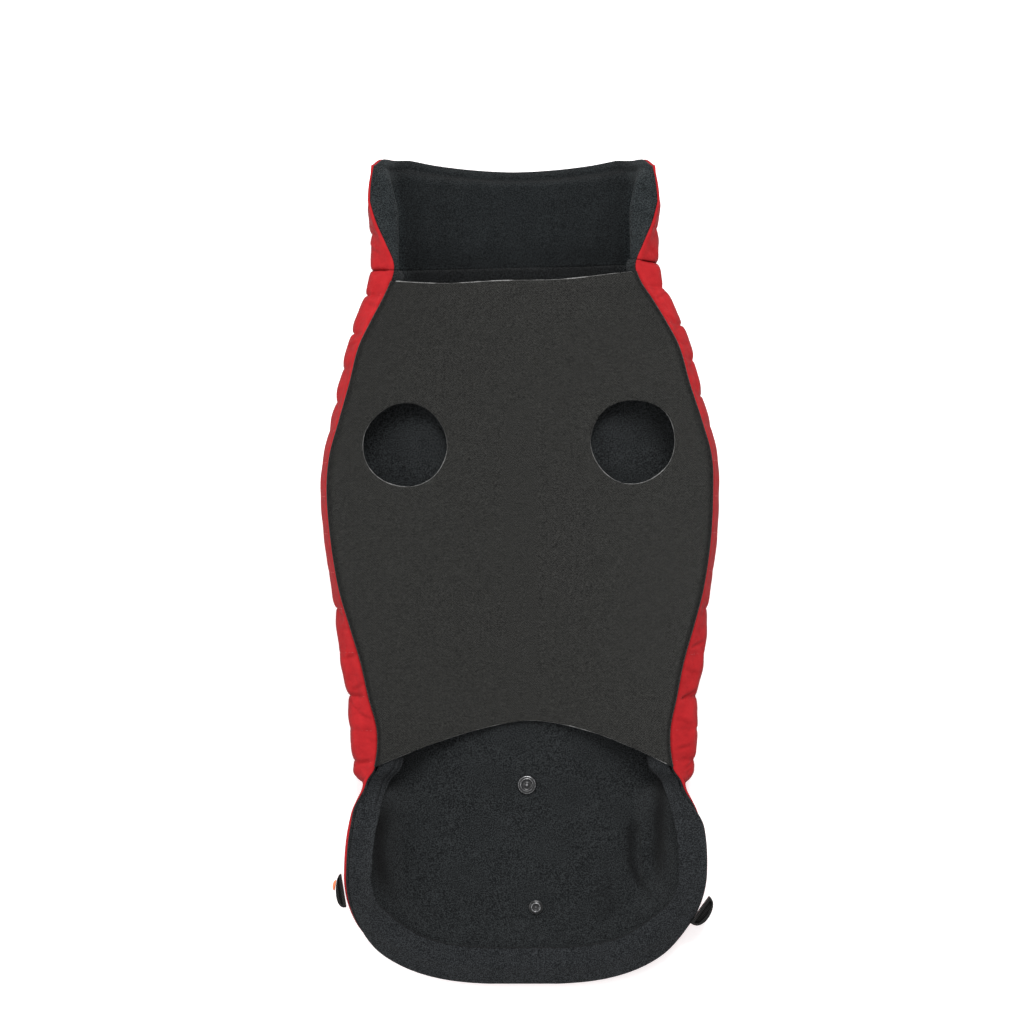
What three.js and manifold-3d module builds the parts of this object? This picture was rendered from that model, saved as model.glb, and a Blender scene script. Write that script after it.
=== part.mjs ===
// A dog's winter coat laid on its back, belly side up.
// The quilted back, lined with fleece, lies on the floor and curls up at both sides. A stretch belly panel
// with two leg holes is sewn between its rims, the collar opens at the neck end, and a fleece facing
// finishes the hem round the tail. Two press stud halves sit on the lining and a tape tab on each side.
// Millimetres, +Z up, +Y towards the neck. The origin is the middle of the floor that the coat covers.
import * as THREE from "three";
import { mergeVertices } from "three/addons/utils/BufferGeometryUtils.js";
import Module from "manifold-3d";

const wasm = await Module();
wasm.setup();

// Lengths along the coat
const neckEnd = 265.4;
const tailEnd = -265.4;
const tailRow = tailEnd + 0.2; // the last row of cloth, just inside the rounded end
const collarSeam = 196.4;
const collarDip = { depth: 7.3, reach: 0.64, power: 1.7 }; // the collar's top edge sinks in the middle
const collarCorner = { from: 0.9, drop: 3 }; // and is rounded off at both corners
const bellyNeck = 189.3; // the belly panel's edge towards the neck
const bellyRear = -124.8; // where the belly panel's side seams end and the hem begins
const rearArch = 28.3; // how far the panel's rear edge is cut away in the middle
const hemWidest = -194;

// Cloth thicknesses
const seamGap = 0.3;
const edgeGap = 0.7; // where edges with different folds meet
const quilt = { groove: 2.2, crest: 5.2, rim: 1.6, raise: 0.4 }; // shell and padding together
const quiltedFrom = { none: 0.58, full: 0.72 }; // shares of the half width: the back below lies flat
// Round the chest the shell is drawn tight, and only a share of the channels' depth is left there.
const taut = { neckEnd: 102, neckFull: 76, rearFull: -8, rearEnd: -32, share: 0.25 };
const fleece = { body: 2.0, rim: 0.9 };
const facingThick = 1.8;
const stretchThick = 1.3;
const rimTaper = 11; // over this width the layers are pinched together towards a seam

// Section along the coat: half the outline's width, how far the rim stands in from the outline, the rim's
// height, how steeply the side wall rises, and how far the coat's middle lies off its straight axis. A strip
// below nothing leans the rim outwards.
const sections = [
  { y: 265.4, outline: 90.0, strip: -3.0, height: 36, rise: 76, shift: 0.0 },
  { y: 250.0, outline: 93.0, strip: -0.8, height: 38, rise: 80, shift: 0.0 },
  { y: 237.0, outline: 93.8, strip: 1.5, height: 40, rise: 84, shift: 0.0 },
  { y: 222.0, outline: 93.2, strip: 3.9, height: 42, rise: 90, shift: 0.0 },
  { y: 209.0, outline: 92.4, strip: 9.0, height: 43, rise: 90, shift: 0.0 },
  { y: 196.4, outline: 93.0, strip: 14.8, height: 43, rise: 90, shift: 0.0 },
  { y: 186.0, outline: 94.9, strip: 14.2, height: 43, rise: 90, shift: 0.4 },
  { y: 175.0, outline: 99.2, strip: 12.4, height: 42, rise: 90, shift: 1.4 },
  { y: 159.6, outline: 106.0, strip: 10.5, height: 42, rise: 90, shift: 1.8 },
  { y: 144.0, outline: 111.0, strip: 7.8, height: 41, rise: 90, shift: 1.9 },
  { y: 121.0, outline: 116.0, strip: 6.6, height: 40, rise: 90, shift: 1.9 },
  { y: 97.7, outline: 121.6, strip: 5.2, height: 40, rise: 90, shift: 2.1 },
  { y: 74.5, outline: 126.6, strip: 3.9, height: 40, rise: 90, shift: 1.8 },
  { y: 51.3, outline: 128.0, strip: 4.0, height: 40, rise: 90, shift: 1.0 },
  { y: 20.3, outline: 126.2, strip: 4.2, height: 40, rise: 90, shift: 1.0 },
  { y: -10.6, outline: 121.8, strip: 4.6, height: 40, rise: 90, shift: 0.8 },
  { y: -33.9, outline: 119.4, strip: 8.4, height: 39, rise: 90, shift: 0.8 },
  { y: -57.1, outline: 117.0, strip: 12.7, height: 39, rise: 90, shift: 0.7 },
  { y: -80.3, outline: 112.8, strip: 13.4, height: 38, rise: 90, shift: 0.7 },
  { y: -102.2, outline: 112.0, strip: 17.4, height: 38, rise: 90, shift: 1.0 },
  { y: -124.8, outline: 110.0, strip: 13.5, height: 37, rise: 90, shift: 0.8 },
  { y: -133.0, outline: 109.8, strip: 8.0, height: 36, rise: 90, shift: 0.8 },
  { y: -142.0, outline: 107.5, strip: 3.5, height: 35, rise: 90, shift: 0.8 },
  { y: -150.0, outline: 109.5, strip: 2.0, height: 34, rise: 90, shift: 0.8 },
  { y: -160.0, outline: 113.0, strip: 2.0, height: 33, rise: 90, shift: 0.8 },
  { y: -190.0, outline: 113.0, strip: 2.0, height: 33, rise: 90, shift: 0.0 },
  { y: -230.0, outline: 113.0, strip: 2.0, height: 33, rise: 90, shift: -1.8 },
];
const cornerRadius = 15; // floor into side wall
const turnRadius = 11; // side wall into rim
const lip = 13; // straight end of the wall, up to the rim
const baseShare = 0.62; // part of the sheet's half width that lies on the floor

// Hem: a tray whose rim flares outwards, low at the tail
const hem = { halfWidth: 116.6, rimHeight: 31, tailHeight: 9.5, run: 40, flatShare: 0.64 };
const hemWaist = { drop: 18, power: 2.5 }; // how it draws in towards the belly seam
const hemRound = { along: 2.0, across: 3.0 }; // powers of the rounded end
const hemFall = { from: -182, to: -250.5 }; // where the rim comes down to the tail's height
const hemFlare = { slope: 1.2, from: 0.1, to: 0.75 }; // shares of the run
const hemBlend = { from: -127, to: -155 }; // the body's section turns into the tray's
const facing = { inset: 1.0, loose: 0.9, side: 11, tail: 19.5, start: -137, lift: 3.4, rightLift: 0.3 };
const facingOpening = { run: 32, narrow: 0.8, loose: 0.3 }; // the band widens and loosens from its start

const lean = 0.9; // degrees that the coat lies turned on the floor
const neckTilt = { slope: 0.035, from: 0, to: 200 }; // seams slope across the neck end, but not at the chest

// Quilting lines, where each crosses the middle of the back, from the collar to the tail
const stitchLines = [
  196.4, 180.3, 155.8, 133.2, 111.9, 93.0, 71.0, 48.1, 24.2, 0.3, -22.9, -51.9, -80.9, -102.2, -121.6, -141.6,
  -164.2, -186.7, -209.3, -231.9, -250.6, -265.4,
];
const collarLines = [265.4, 242.4, 219.4, 196.4];
const collarPinch = 0.16; // share of the collar's width over which its top edge closes

// Soft ridges of loose lining at the tail: middle, direction, half length, half width and height
const folds = [
  { x: 79, y: -178, turn: 86, along: 34, across: 7, height: 3.2 },
  { x: 91, y: -190, turn: 72, along: 22, across: 5, height: 2.6 },
  { x: -70, y: -172, turn: 95, along: 30, across: 8, height: 1.8 },
];
const foldEnd = 0.2; // share of its half length after which a fold fades

// The collar lining swells into a soft roll inside each front edge. Its inner side keeps to a straight line.
const roll = { line: 74.2, round: 5, length: 16, end: 6, fade: 0.2 };

const bellyCentre = { neck: 12, body: 8.6, reach: 0.3, power: 2.1 }; // height and curve of the panel's middle
const bellyWave = { height: 0.9, turns: 5.2, start: 0.6 }; // the neck edge is a little wavy
const bellyArch = { skew: 0.06, power: 1.6 };
const bellyEdge = 0.975; // from here on the panel lies on the rim
const legHole = { radius: 27, sides: 40, holes: [{ x: -73.9, y: 81.6 }, { x: 72.6, y: 83.5 }] };

const deg = Math.PI / 180;
const clamp01 = (t) => Math.min(1, Math.max(0, t));
const mix = (a, b, t) => a + (b - a) * t;
const smooth = (from, to, x) => {
  const t = clamp01((x - from) / (to - from));
  return t * t * (3 - 2 * t);
};

// One column of the section table at y, on a smooth curve through its rows.
function column(name, y) {
  const last = sections.length - 1;
  if (y >= sections[0].y) return sections[0][name];
  if (y <= sections[last].y) return sections[last][name];
  const i = sections.findIndex((row, k) => k < last && y >= sections[k + 1].y);
  const slope = (k) => {
    const a = sections[Math.max(0, k - 1)];
    const b = sections[Math.min(last, k + 1)];
    return (b[name] - a[name]) / (b.y - a.y);
  };
  const [a, b] = [sections[i], sections[i + 1]];
  const span = b.y - a.y;
  const t = (y - a.y) / span;
  return (
    a[name] * (1 + 2 * t) * (1 - t) ** 2 +
    b[name] * t * t * (3 - 2 * t) +
    slope(i) * span * t * (1 - t) ** 2 +
    slope(i + 1) * span * t * t * (t - 1)
  );
}

// How far the lip turns, in radians, for its end to stand that far in from the wall.
function lipTurn(strip) {
  const reach = Math.hypot(turnRadius, lip);
  const offset = Math.asin((Math.abs(strip) - turnRadius) / reach);
  return Math.sign(strip) * (Math.atan2(turnRadius, lip) + offset);
}

// The side wall of the body at y, from the floor to the rim, as evenly spaced points in x and z.
const WALL_STEPS = 48;
const wallCache = new Map();
function bodyWall(y) {
  const key = y.toFixed(4);
  if (wallCache.has(key)) return wallCache.get(key);
  const rise = column("rise", y) * deg;
  const turn = lipTurn(column("strip", y));
  const bend = Math.sign(turn) * turnRadius;
  const turnHeight = bend * (Math.cos(rise) - Math.cos(rise + turn));
  const rest = cornerRadius * (1 - Math.cos(rise)) + turnHeight + lip * Math.sin(rise + turn);
  const straight = Math.max(0, column("height", y) - rest) / Math.sin(rise);
  const ends = [cornerRadius * rise, straight, Math.abs(bend * turn), lip];
  const total = ends.reduce((a, b) => a + b);
  const angleAt = (s) => {
    if (s < ends[0]) return s / cornerRadius;
    if (s < ends[0] + ends[1]) return rise;
    if (s < ends[0] + ends[1] + ends[2]) return rise + (s - ends[0] - ends[1]) / bend;
    return rise + turn;
  };
  const points = [{ x: 0, z: 0 }];
  const step = total / WALL_STEPS;
  for (let i = 0; i < WALL_STEPS; i++) {
    const angle = angleAt((i + 0.5) * step);
    const p = points[i];
    points.push({ x: p.x + step * Math.cos(angle), z: p.z + step * Math.sin(angle) });
  }
  const base = column("outline", y) - Math.max(...points.map((p) => p.x));
  const wall = { base, total, points };
  wallCache.set(key, wall);
  return wall;
}

function bodyPoint(v, y) {
  const wall = bodyWall(y);
  if (v <= baseShare) return { x: (wall.base * v) / baseShare, z: 0 };
  const at = ((v - baseShare) / (1 - baseShare)) * WALL_STEPS;
  const i = Math.min(WALL_STEPS - 1, Math.floor(at));
  const [a, b] = [wall.points[i], wall.points[i + 1]];
  return { x: wall.base + mix(a.x, b.x, at - i), z: mix(a.z, b.z, at - i) };
}

// Half the hem's width at y: the body's outline, then a rounded end.
function hemHalfWidth(y) {
  if (y > hemWidest) {
    const t = clamp01((y - hemWidest) / (bellyRear - hemWidest));
    return hem.halfWidth - hemWaist.drop * t ** hemWaist.power;
  }
  const t = clamp01((hemWidest - y) / (hemWidest - tailEnd));
  return hem.halfWidth * (1 - t ** hemRound.along) ** (1 / hemRound.across);
}

// The hem's outline seen from above, right half, from ahead of the belly seam to the tail.
const OUTLINE_STEPS = 90;
const OUTLINE_AHEAD = 70;
const hemOutline = [new THREE.Vector2(hemHalfWidth(bellyRear), bellyRear + OUTLINE_AHEAD)];
for (let i = 0; i <= OUTLINE_STEPS; i++) {
  const y = mix(bellyRear, tailEnd, Math.sin((i / OUTLINE_STEPS) * 90 * deg));
  hemOutline.push(new THREE.Vector2(hemHalfWidth(y), y));
}

function distanceToHem(x, y) {
  let best = Infinity;
  for (let i = 0; i + 1 < hemOutline.length; i++) {
    const [a, b] = [hemOutline[i], hemOutline[i + 1]];
    const [dx, dy] = [b.x - a.x, b.y - a.y];
    const t = clamp01(((x - a.x) * dx + (y - a.y) * dy) / (dx * dx + dy * dy));
    best = Math.min(best, Math.hypot(x - a.x - t * dx, y - a.y - t * dy));
  }
  return best;
}

// Height of the hem's tray, as a share of its rim's height, at that distance in from the rim.
function trayShare(distance) {
  const t = clamp01(distance / hem.run);
  const flare = 1 - hemFlare.slope * t;
  const foot = (1 - t) ** 2 * (1 + 2 * t);
  return mix(flare, foot, smooth(hemFlare.from, hemFlare.to, t));
}

function hemPoint(v, y) {
  const half = hemHalfWidth(y);
  const share =
    v <= baseShare
      ? (hem.flatShare * v) / baseShare
      : mix(hem.flatShare, 1, (v - baseShare) / (1 - baseShare));
  const x = half * share;
  const height = mix(hem.rimHeight, hem.tailHeight, smooth(hemFall.from, hemFall.to, y));
  return { x, z: height * trayShare(distanceToHem(x, y)) };
}

// Where the middle of the coat lies at y.
const middleAt = (y) => column("shift", y) - y * Math.tan(lean * deg);

// The sheet that every layer follows: v runs from the left rim, -1, to the right rim, 1.
function sheet(v, y) {
  const yIn = Math.max(y, tailRow);
  const share = smooth(hemBlend.from, hemBlend.to, yIn);
  const side = Math.abs(v);
  const body = share < 1 ? bodyPoint(side, yIn) : { x: 0, z: 0 };
  const tray = share > 0 ? hemPoint(side, yIn) : { x: 0, z: 0 };
  const x = Math.sign(v) * mix(body.x, tray.x, share);
  return new THREE.Vector3(x + middleAt(y), y, mix(body.z, tray.z, share));
}

// Unit vector out of the coat at a place on the sheet.
function outward(v, y) {
  const [dv, dy] = [0.006, 0.6];
  const lowY = Math.max(tailRow, y - dy);
  const across = sheet(Math.min(1, v + dv), y).sub(sheet(Math.max(-1, v - dv), y));
  const along = sheet(v, Math.min(neckEnd, y + dy)).sub(sheet(v, lowY));
  return along.cross(across).normalize();
}

// Distance from a place on the sheet to the coat's rim.
function toRim(v, y) {
  const side = ((1 - Math.abs(v)) / (1 - baseShare)) * bodyWall(y).total;
  if (y > hemBlend.from) return side;
  const p = sheet(v, y);
  return Math.min(side, distanceToHem(Math.abs(p.x - middleAt(y)), y) * hemFlare.slope);
}

const pinch = (v, y) => smooth(0, rimTaper, toRim(v, y));

// The layers, as distances out of the sheet: the shell's outside swells between the quilting lines.
function swell(y, lines) {
  const i = lines.findIndex((line, k) => k + 1 < lines.length && y <= line && y >= lines[k + 1]);
  if (i < 0) return 0;
  const t = (lines[i] - y) / (lines[i] - lines[i + 1]);
  return Math.sqrt(Math.max(0, 4 * t * (1 - t)));
}
function shellOutside(v, row, y, lines) {
  const wall = smooth(quiltedFrom.none, quiltedFrom.full, Math.abs(v)) * pinch(v, y);
  const tight = smooth(taut.neckEnd, taut.neckFull, y) * smooth(taut.rearEnd, taut.rearFull, y);
  const deep = (quilt.crest - quilt.groove) * mix(1, taut.share, tight);
  return wall * (deep * (swell(row, lines) - 1) + quilt.raise);
}
const shellInside = (v, y) => -mix(quilt.rim, quilt.crest, pinch(v, y));
const liningOutside = (v, y) => shellInside(v, y) - seamGap;
function foldHeight(v, y) {
  const p = sheet(v, y);
  return folds.reduce((sum, f) => {
    const [dx, dy] = [p.x - f.x, p.y - f.y];
    const along = dx * Math.cos(f.turn * deg) + dy * Math.sin(f.turn * deg);
    const across = dy * Math.cos(f.turn * deg) - dx * Math.sin(f.turn * deg);
    const fade = 1 - smooth(foldEnd, 1, Math.abs(along) / f.along);
    return sum + f.height * fade * Math.exp(-((across / f.across) ** 2));
  }, 0);
}
const liningInside = (v, y) =>
  liningOutside(v, y) - mix(fleece.rim, fleece.body, pinch(v, y)) - foldHeight(v, y) * pinch(v, y);

// A place on a layer. Nothing lies below the floor.
function layerPoint(v, y, distance) {
  const p = sheet(v, y).addScaledVector(outward(v, y), distance);
  p.z = Math.max(0, p.z);
  return p;
}

// A closed solid between two grids of points with the same rows and columns. The left half's faces are
// split the other way from the right half's.
function between(outer, inner) {
  const rows = outer.length;
  const columns = outer[0].length;
  const positions = [...outer, ...inner].flat().flatMap((p) => [p.x, p.y, p.z]);
  const id = (side, r, c) => (side * rows + r) * columns + c;
  const index = [];
  const leftHalf = (a) => positions[(a % (rows * columns)) * 3] < 0;
  const quad = (a, b, c, d) => {
    if (leftHalf(a) && leftHalf(c)) index.push(b, c, d, b, d, a);
    else index.push(a, b, c, a, c, d);
  };
  for (let r = 0; r + 1 < rows; r++)
    for (let c = 0; c + 1 < columns; c++) {
      quad(id(0, r, c), id(0, r, c + 1), id(0, r + 1, c + 1), id(0, r + 1, c));
      quad(id(1, r, c), id(1, r + 1, c), id(1, r + 1, c + 1), id(1, r, c + 1));
    }
  for (let r = 0; r + 1 < rows; r++) {
    quad(id(0, r + 1, 0), id(1, r + 1, 0), id(1, r, 0), id(0, r, 0));
    const c = columns - 1;
    quad(id(0, r, c), id(1, r, c), id(1, r + 1, c), id(0, r + 1, c));
  }
  for (let c = 0; c + 1 < columns; c++) {
    quad(id(0, 0, c), id(1, 0, c), id(1, 0, c + 1), id(0, 0, c + 1));
    const r = rows - 1;
    quad(id(0, r, c + 1), id(1, r, c + 1), id(1, r, c), id(0, r, c));
  }
  return new THREE.BufferGeometry()
    .setAttribute("position", new THREE.Float32BufferAttribute(positions, 3))
    .setIndex(index);
}

function mesh(name, geometry, look) {
  const made = new THREE.Mesh(geometry, new THREE.MeshStandardMaterial(look));
  made.name = name;
  return made;
}

// Columns of the layers: few on the floor, more up the side walls.
const [floorColumns, wallColumns] = [2, 7];
const columns = (() => {
  const half = [];
  for (let i = 1; i <= floorColumns; i++) half.push((baseShare * i) / floorColumns);
  for (let i = 1; i <= wallColumns; i++) half.push(mix(baseShare, 1, i / wallColumns));
  return [...half.map((v) => -v).reverse(), 0, ...half];
})();

// Seams across the neck end slope a little. They lie straight again by the chest.
const tiltAt = (y, v) =>
  neckTilt.slope * smooth(neckTilt.from, neckTilt.to, y) * column("outline", y) * v;

function layer(rows, yOf, outside, inside) {
  const grid = (distance) =>
    rows.map((row) =>
      columns.map((v) => {
        const y = yOf(row, v);
        return layerPoint(v, y, distance(v, row, y));
      }),
    );
  return between(grid(outside), grid(inside));
}

const bodyRow = (row, v) => row + tiltAt(row, v);

const rowShares = [0, 0.28, 0.72]; // rows of a quilted channel, from one line towards the next
function rowsBetween(lines) {
  const rows = [];
  for (let i = 0; i + 1 < lines.length; i++)
    for (const t of rowShares) rows.push(mix(lines[i], lines[i + 1], t));
  return rows;
}

// Rows close up towards the tail, where the rounded hem runs across them.
const tailSteps = [9.4, 5.4, 2.6, 0.9];
const bodyRows = (() => {
  const rows = rowsBetween(stitchLines.slice(0, -1));
  rows[0] -= seamGap / 2;
  const closing = tailSteps.map((step) => tailEnd + step);
  return [...rows, stitchLines.at(-2), ...closing, tailRow];
})();

function backShell() {
  return layer(
    bodyRows,
    bodyRow,
    (v, row, y) => shellOutside(v, row, y, stitchLines),
    (v, row, y) => shellInside(v, y),
  );
}

function backLining() {
  return layer(
    bodyRows,
    bodyRow,
    (v, row, y) => liningOutside(v, y),
    (v, row, y) => liningInside(v, y),
  );
}

// The collar is a band from its seam to a top edge that dips in the middle of the neck.
function collarRow(share, v) {
  const seam = collarSeam + seamGap / 2 + tiltAt(collarSeam, v);
  const side = Math.abs(v);
  const dip = collarDip.depth * (1 - Math.min(1, side / collarDip.reach) ** collarDip.power);
  const corner = collarCorner.drop * smooth(collarCorner.from, 1, side) ** 2;
  return mix(seam, neckEnd - dip - corner, share);
}
const topPinch = (share) => smooth(0, collarPinch, 1 - share);

const collarShares = rowsBetween([1, 2 / 3, 1 / 3, 0]).concat(0);

function collarShell() {
  const height = (share) => mix(collarLines.at(-1), collarLines[0], share);
  return layer(
    collarShares,
    collarRow,
    (v, share, y) => shellOutside(v, height(share), y, collarLines) * topPinch(share),
    (v, share, y) => mix(-quilt.rim, shellInside(v, y), topPinch(share)),
  );
}

// Moves a place on the lining's inner face onto the roll.
function ontoRoll(p, v, share, y) {
  const from = toRim(v, y);
  const bead = smooth(0, roll.round, from) * (1 - smooth(roll.length, roll.length + roll.end, from));
  const reach = Math.abs(p.x - middleAt(y));
  const rolled = mix(reach, Math.min(reach, roll.line), bead * smooth(0, roll.fade, 1 - share));
  p.x = middleAt(y) + Math.sign(v) * rolled;
  return p;
}

function collarLining() {
  const outside = (v, share, y) => mix(-quilt.rim, shellInside(v, y), topPinch(share)) - seamGap;
  const thick = (v, share, y) => mix(fleece.rim, fleece.body, topPinch(share) * pinch(v, y));
  const grid = (place) => collarShares.map((share) => columns.map((v) => place(v, share, collarRow(share, v))));
  return between(
    grid((v, share, y) => layerPoint(v, y, outside(v, share, y))),
    grid((v, share, y) => {
      const inside = layerPoint(v, y, outside(v, share, y) - thick(v, share, y));
      return v === 0 ? inside : ontoRoll(inside, v, share, y);
    }),
  );
}

// The belly panel lies on the rims' end faces, then dips between them.
const endFace = quilt.rim + seamGap + fleece.rim + seamGap;
function rimFrame(side, y) {
  const p = sheet(side, y);
  const inwards = outward(side, y).negate();
  const before = sheet(side * 0.985, y);
  return { p, inwards, on: p.clone().sub(before).normalize() };
}
const bellyRows = [bellyNeck, ...bodyRows.filter((y) => y < bellyNeck - 2 && y > bellyRear + 2), bellyRear];
function bellyRowY(row, v) {
  const share = (bellyNeck - row) / (bellyNeck - bellyRear);
  const wave = bellyWave.height * Math.sin(bellyWave.turns * v + bellyWave.start) * (1 - v * v);
  const bow = Math.max(0, 1 - Math.abs(v - bellyArch.skew * (1 - v * v)) ** bellyArch.power);
  return bodyRow(row, v) + wave * (1 - share) ** 2 + rearArch * bow * share ** 2;
}
function bellyPoint(row, v, under) {
  const y = bellyRowY(row, v);
  const share = (bellyNeck - row) / (bellyNeck - bellyRear);
  const thick = under ? 0 : stretchThick;
  if (Math.abs(v) === 1) {
    const rim = rimFrame(v, y);
    return rim.p.addScaledVector(rim.on, edgeGap + thick);
  }
  const side = Math.sign(v) || 1;
  const rim = rimFrame(side, y);
  const edge = rim.p
    .clone()
    .addScaledVector(rim.inwards, endFace)
    .addScaledVector(rim.on, edgeGap + thick);
  if (Math.abs(v) > bellyEdge) return edge;
  const middle = mix(bellyCentre.neck, bellyCentre.body, smooth(0, bellyCentre.reach, share));
  const other = rimFrame(-side, y);
  const far = other.p
    .clone()
    .addScaledVector(other.inwards, endFace)
    .addScaledVector(other.on, edgeGap + thick);
  const t = Math.abs(v) / bellyEdge;
  const centreX = (edge.x + far.x) / 2;
  const low = middle + thick;
  return new THREE.Vector3(mix(centreX, edge.x, t), y, mix(low, edge.z, t ** bellyCentre.power));
}

const drillLength = 160;
function legHoleCutter(hole) {
  const drill = new THREE.CylinderGeometry(legHole.radius, legHole.radius, drillLength, legHole.sides);
  return drill.rotateX(90 * deg).translate(hole.x, hole.y, 0);
}

const toSolid = (geometry) => {
  const bare = geometry.index ? geometry.toNonIndexed() : geometry.clone();
  const only = new THREE.BufferGeometry().setAttribute("position", bare.getAttribute("position"));
  const merged = mergeVertices(only, 1e-4);
  return new wasm.Manifold(
    new wasm.Mesh({
      numProp: 3,
      vertProperties: new Float32Array(merged.attributes.position.array),
      triVerts: new Uint32Array(merged.index.array),
    }),
  );
};

function fromSolid(solid) {
  const made = solid.getMesh();
  const positions = new Float32Array(made.numVert * 3);
  for (let i = 0; i < made.numVert; i++)
    positions.set(made.vertProperties.subarray(i * made.numProp, i * made.numProp + 3), i * 3);
  return new THREE.BufferGeometry()
    .setAttribute("position", new THREE.BufferAttribute(positions, 3))
    .setIndex(new THREE.BufferAttribute(new Uint32Array(made.triVerts), 1));
}

function bellyPanel() {
  const half = 6;
  const inner = Array.from({ length: 2 * half + 1 }, (_, i) => bellyEdge * (i / half - 1));
  const places = [-1, ...inner, 1];
  const grid = (under) => bellyRows.map((row) => places.map((v) => bellyPoint(row, v, under)));
  const whole = toSolid(between(grid(true), grid(false)));
  return fromSolid(
    legHole.holes.reduce((panel, hole) => panel.subtract(toSolid(legHoleCutter(hole))), whole),
  );
}

// The facing is a band of fleece inside the hem, from one belly seam round the tail to the other.
function shareOfWidth(x, y) {
  const share = clamp01(Math.abs(x) / hemHalfWidth(y));
  const v =
    share <= hem.flatShare
      ? (share / hem.flatShare) * baseShare
      : mix(baseShare, 1, (share - hem.flatShare) / (1 - hem.flatShare));
  return Math.sign(x) * v;
}
function facingStations() {
  const [sideSteps, tailSteps, gather] = [11, 15, 1.15];
  const right = [];
  for (let i = 0; i <= sideSteps; i++) right.push(mix(facing.start, hemWidest, i / sideSteps));
  for (let i = 1; i < tailSteps; i++)
    right.push(mix(hemWidest, tailRow, Math.sin((i / tailSteps) * 90 * deg) ** gather));
  const half = right.map((y) => new THREE.Vector2(hemHalfWidth(y), y));
  const middle = new THREE.Vector2(0, tailRow);
  return [...half, middle, ...half.map((p) => new THREE.Vector2(-p.x, p.y)).reverse()];
}
function facingBand() {
  const stations = facingStations();
  const across = [0, 0.22, 0.5, 0.8, 1];
  const grid = (outside) =>
    stations.map((p, i) => {
      const before = stations[Math.max(0, i - 1)];
      const after = stations[Math.min(stations.length - 1, i + 1)];
      const inwards = new THREE.Vector2(after.y - before.y, before.x - after.x).normalize();
      const tail = smooth(hemWidest, hemFall.to, p.y);
      const opening = smooth(facing.start, facing.start - facingOpening.run, p.y);
      const width = mix(facing.side, facing.tail, tail) * mix(facingOpening.narrow, 1, opening);
      const standing = facing.lift * (p.x < 0 ? 1 : facing.rightLift);
      return across.map((t) => {
        const x = p.x + inwards.x * (facing.inset + width * t);
        const y = Math.max(tailRow, p.y + inwards.y * (facing.inset + width * t));
        const v = shareOfWidth(x, y);
        const lift = facing.loose * smooth(0, facingOpening.loose, t) + standing * t ** 3;
        const under = liningInside(v, y) - edgeGap - lift * opening;
        const rounding = t === 0 ? facingThick / 3 : 0;
        return layerPoint(v, y, outside ? under : under - facingThick + rounding);
      });
    });
  return between(grid(false), grid(true));
}

// Height of the lining's visible face above the floor where the coat lies flat
const liningTop = quilt.crest + seamGap + fleece.body;

function turned(profile, sides) {
  const outline = profile.map(([r, z]) => new THREE.Vector2(r, z));
  return new THREE.LatheGeometry(outline, sides).rotateX(90 * deg);
}

// Press stud halves: a wide socket and a small stud, each profile closed on the axis.
const socketProfile = [
  [0, 0], [6, 0], [6, 0.9], [5.3, 1.7], [4.4, 1.9], [3.9, 1.5], [3.6, 0.8], [1.7, 0.8], [1.3, 1.6], [0, 1.9],
];
const studProfile = [[0, 0], [4.6, 0], [4.6, 0.7], [3.6, 0.9], [3.2, 2.1], [2.4, 2.4], [2.1, 1.2], [0, 1.0]];
const studs = [
  { name: "snap_socket", profile: socketProfile, x: 4.8, y: -138.4 },
  { name: "snap_stud", profile: studProfile, x: 10.6, y: -217.7 },
];

// Tabs: a loop of stiff tape, sewn on edge outside the rim at each side of the hem. The loop's inner ply lies
// along the rim and its outer ply bows out. The left one carries a small domed spot.
const tape = { width: 9, ply: 1.7 };
const tabs = [
  { name: "hem_tab_left", x: -113.4, y: -205.6, turn: 99, length: 21.5, bow: 5.0, skew: 0.25, top: 25.0 },
  { name: "hem_tab_right", x: 116.4, y: -218.3, turn: -126, length: 21.0, bow: 7.4, skew: -0.1, top: 20.6 },
];
const spot = { x: -118.65, y: -202.4, z: 20.5, radius: 3.5, height: 1.9, turn: 171 };

// A bowed outline standing in from the tape's outer face by that much.
function tabOutline(tab, inset) {
  const steps = 14;
  const half = tab.length / 2 - inset;
  const points = [];
  for (let i = 0; i <= steps; i++) {
    const angle = (i / steps) * Math.PI;
    const along = Math.cos(angle);
    const out = Math.sin(angle) ** 0.8 * (1 - tab.skew * along);
    points.push(new THREE.Vector2(half * along, inset + (tab.bow - 2 * inset) * out));
  }
  return points;
}
function hemTab(tab) {
  const shape = new THREE.Shape(tabOutline(tab, 0));
  shape.holes.push(new THREE.Path(tabOutline(tab, tape.ply).reverse()));
  return new THREE.ExtrudeGeometry(shape, { depth: tape.width, bevelEnabled: false })
    .rotateZ(tab.turn * deg)
    .translate(tab.x, tab.y, tab.top - tape.width);
}

function spotDome() {
  const dome = [[0, 0], [spot.radius, 0], [spot.radius, 0.4]];
  for (let i = 1; i <= 4; i++) {
    const angle = (i / 4) * 90 * deg;
    dome.push([spot.radius * Math.cos(angle), 0.4 + (spot.height - 0.4) * Math.sin(angle)]);
  }
  dome[dome.length - 1][0] = 0;
  return turned(dome, 16)
    .rotateY(90 * deg)
    .rotateZ(spot.turn * deg)
    .translate(spot.x, spot.y, spot.z);
}

const cloth = (color, roughness) => ({ color, roughness, metalness: 0 });
const looks = {
  shell: cloth(0xc0282e, 0.42),
  fleece: cloth(0x2c2f32, 0.96),
  stretch: cloth(0x343432, 0.88),
  metal: { color: 0x26282a, roughness: 0.32, metalness: 0.85 },
  tape: cloth(0x1c1c1c, 0.6),
  spot: cloth(0xe0703a, 0.5),
};

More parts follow.
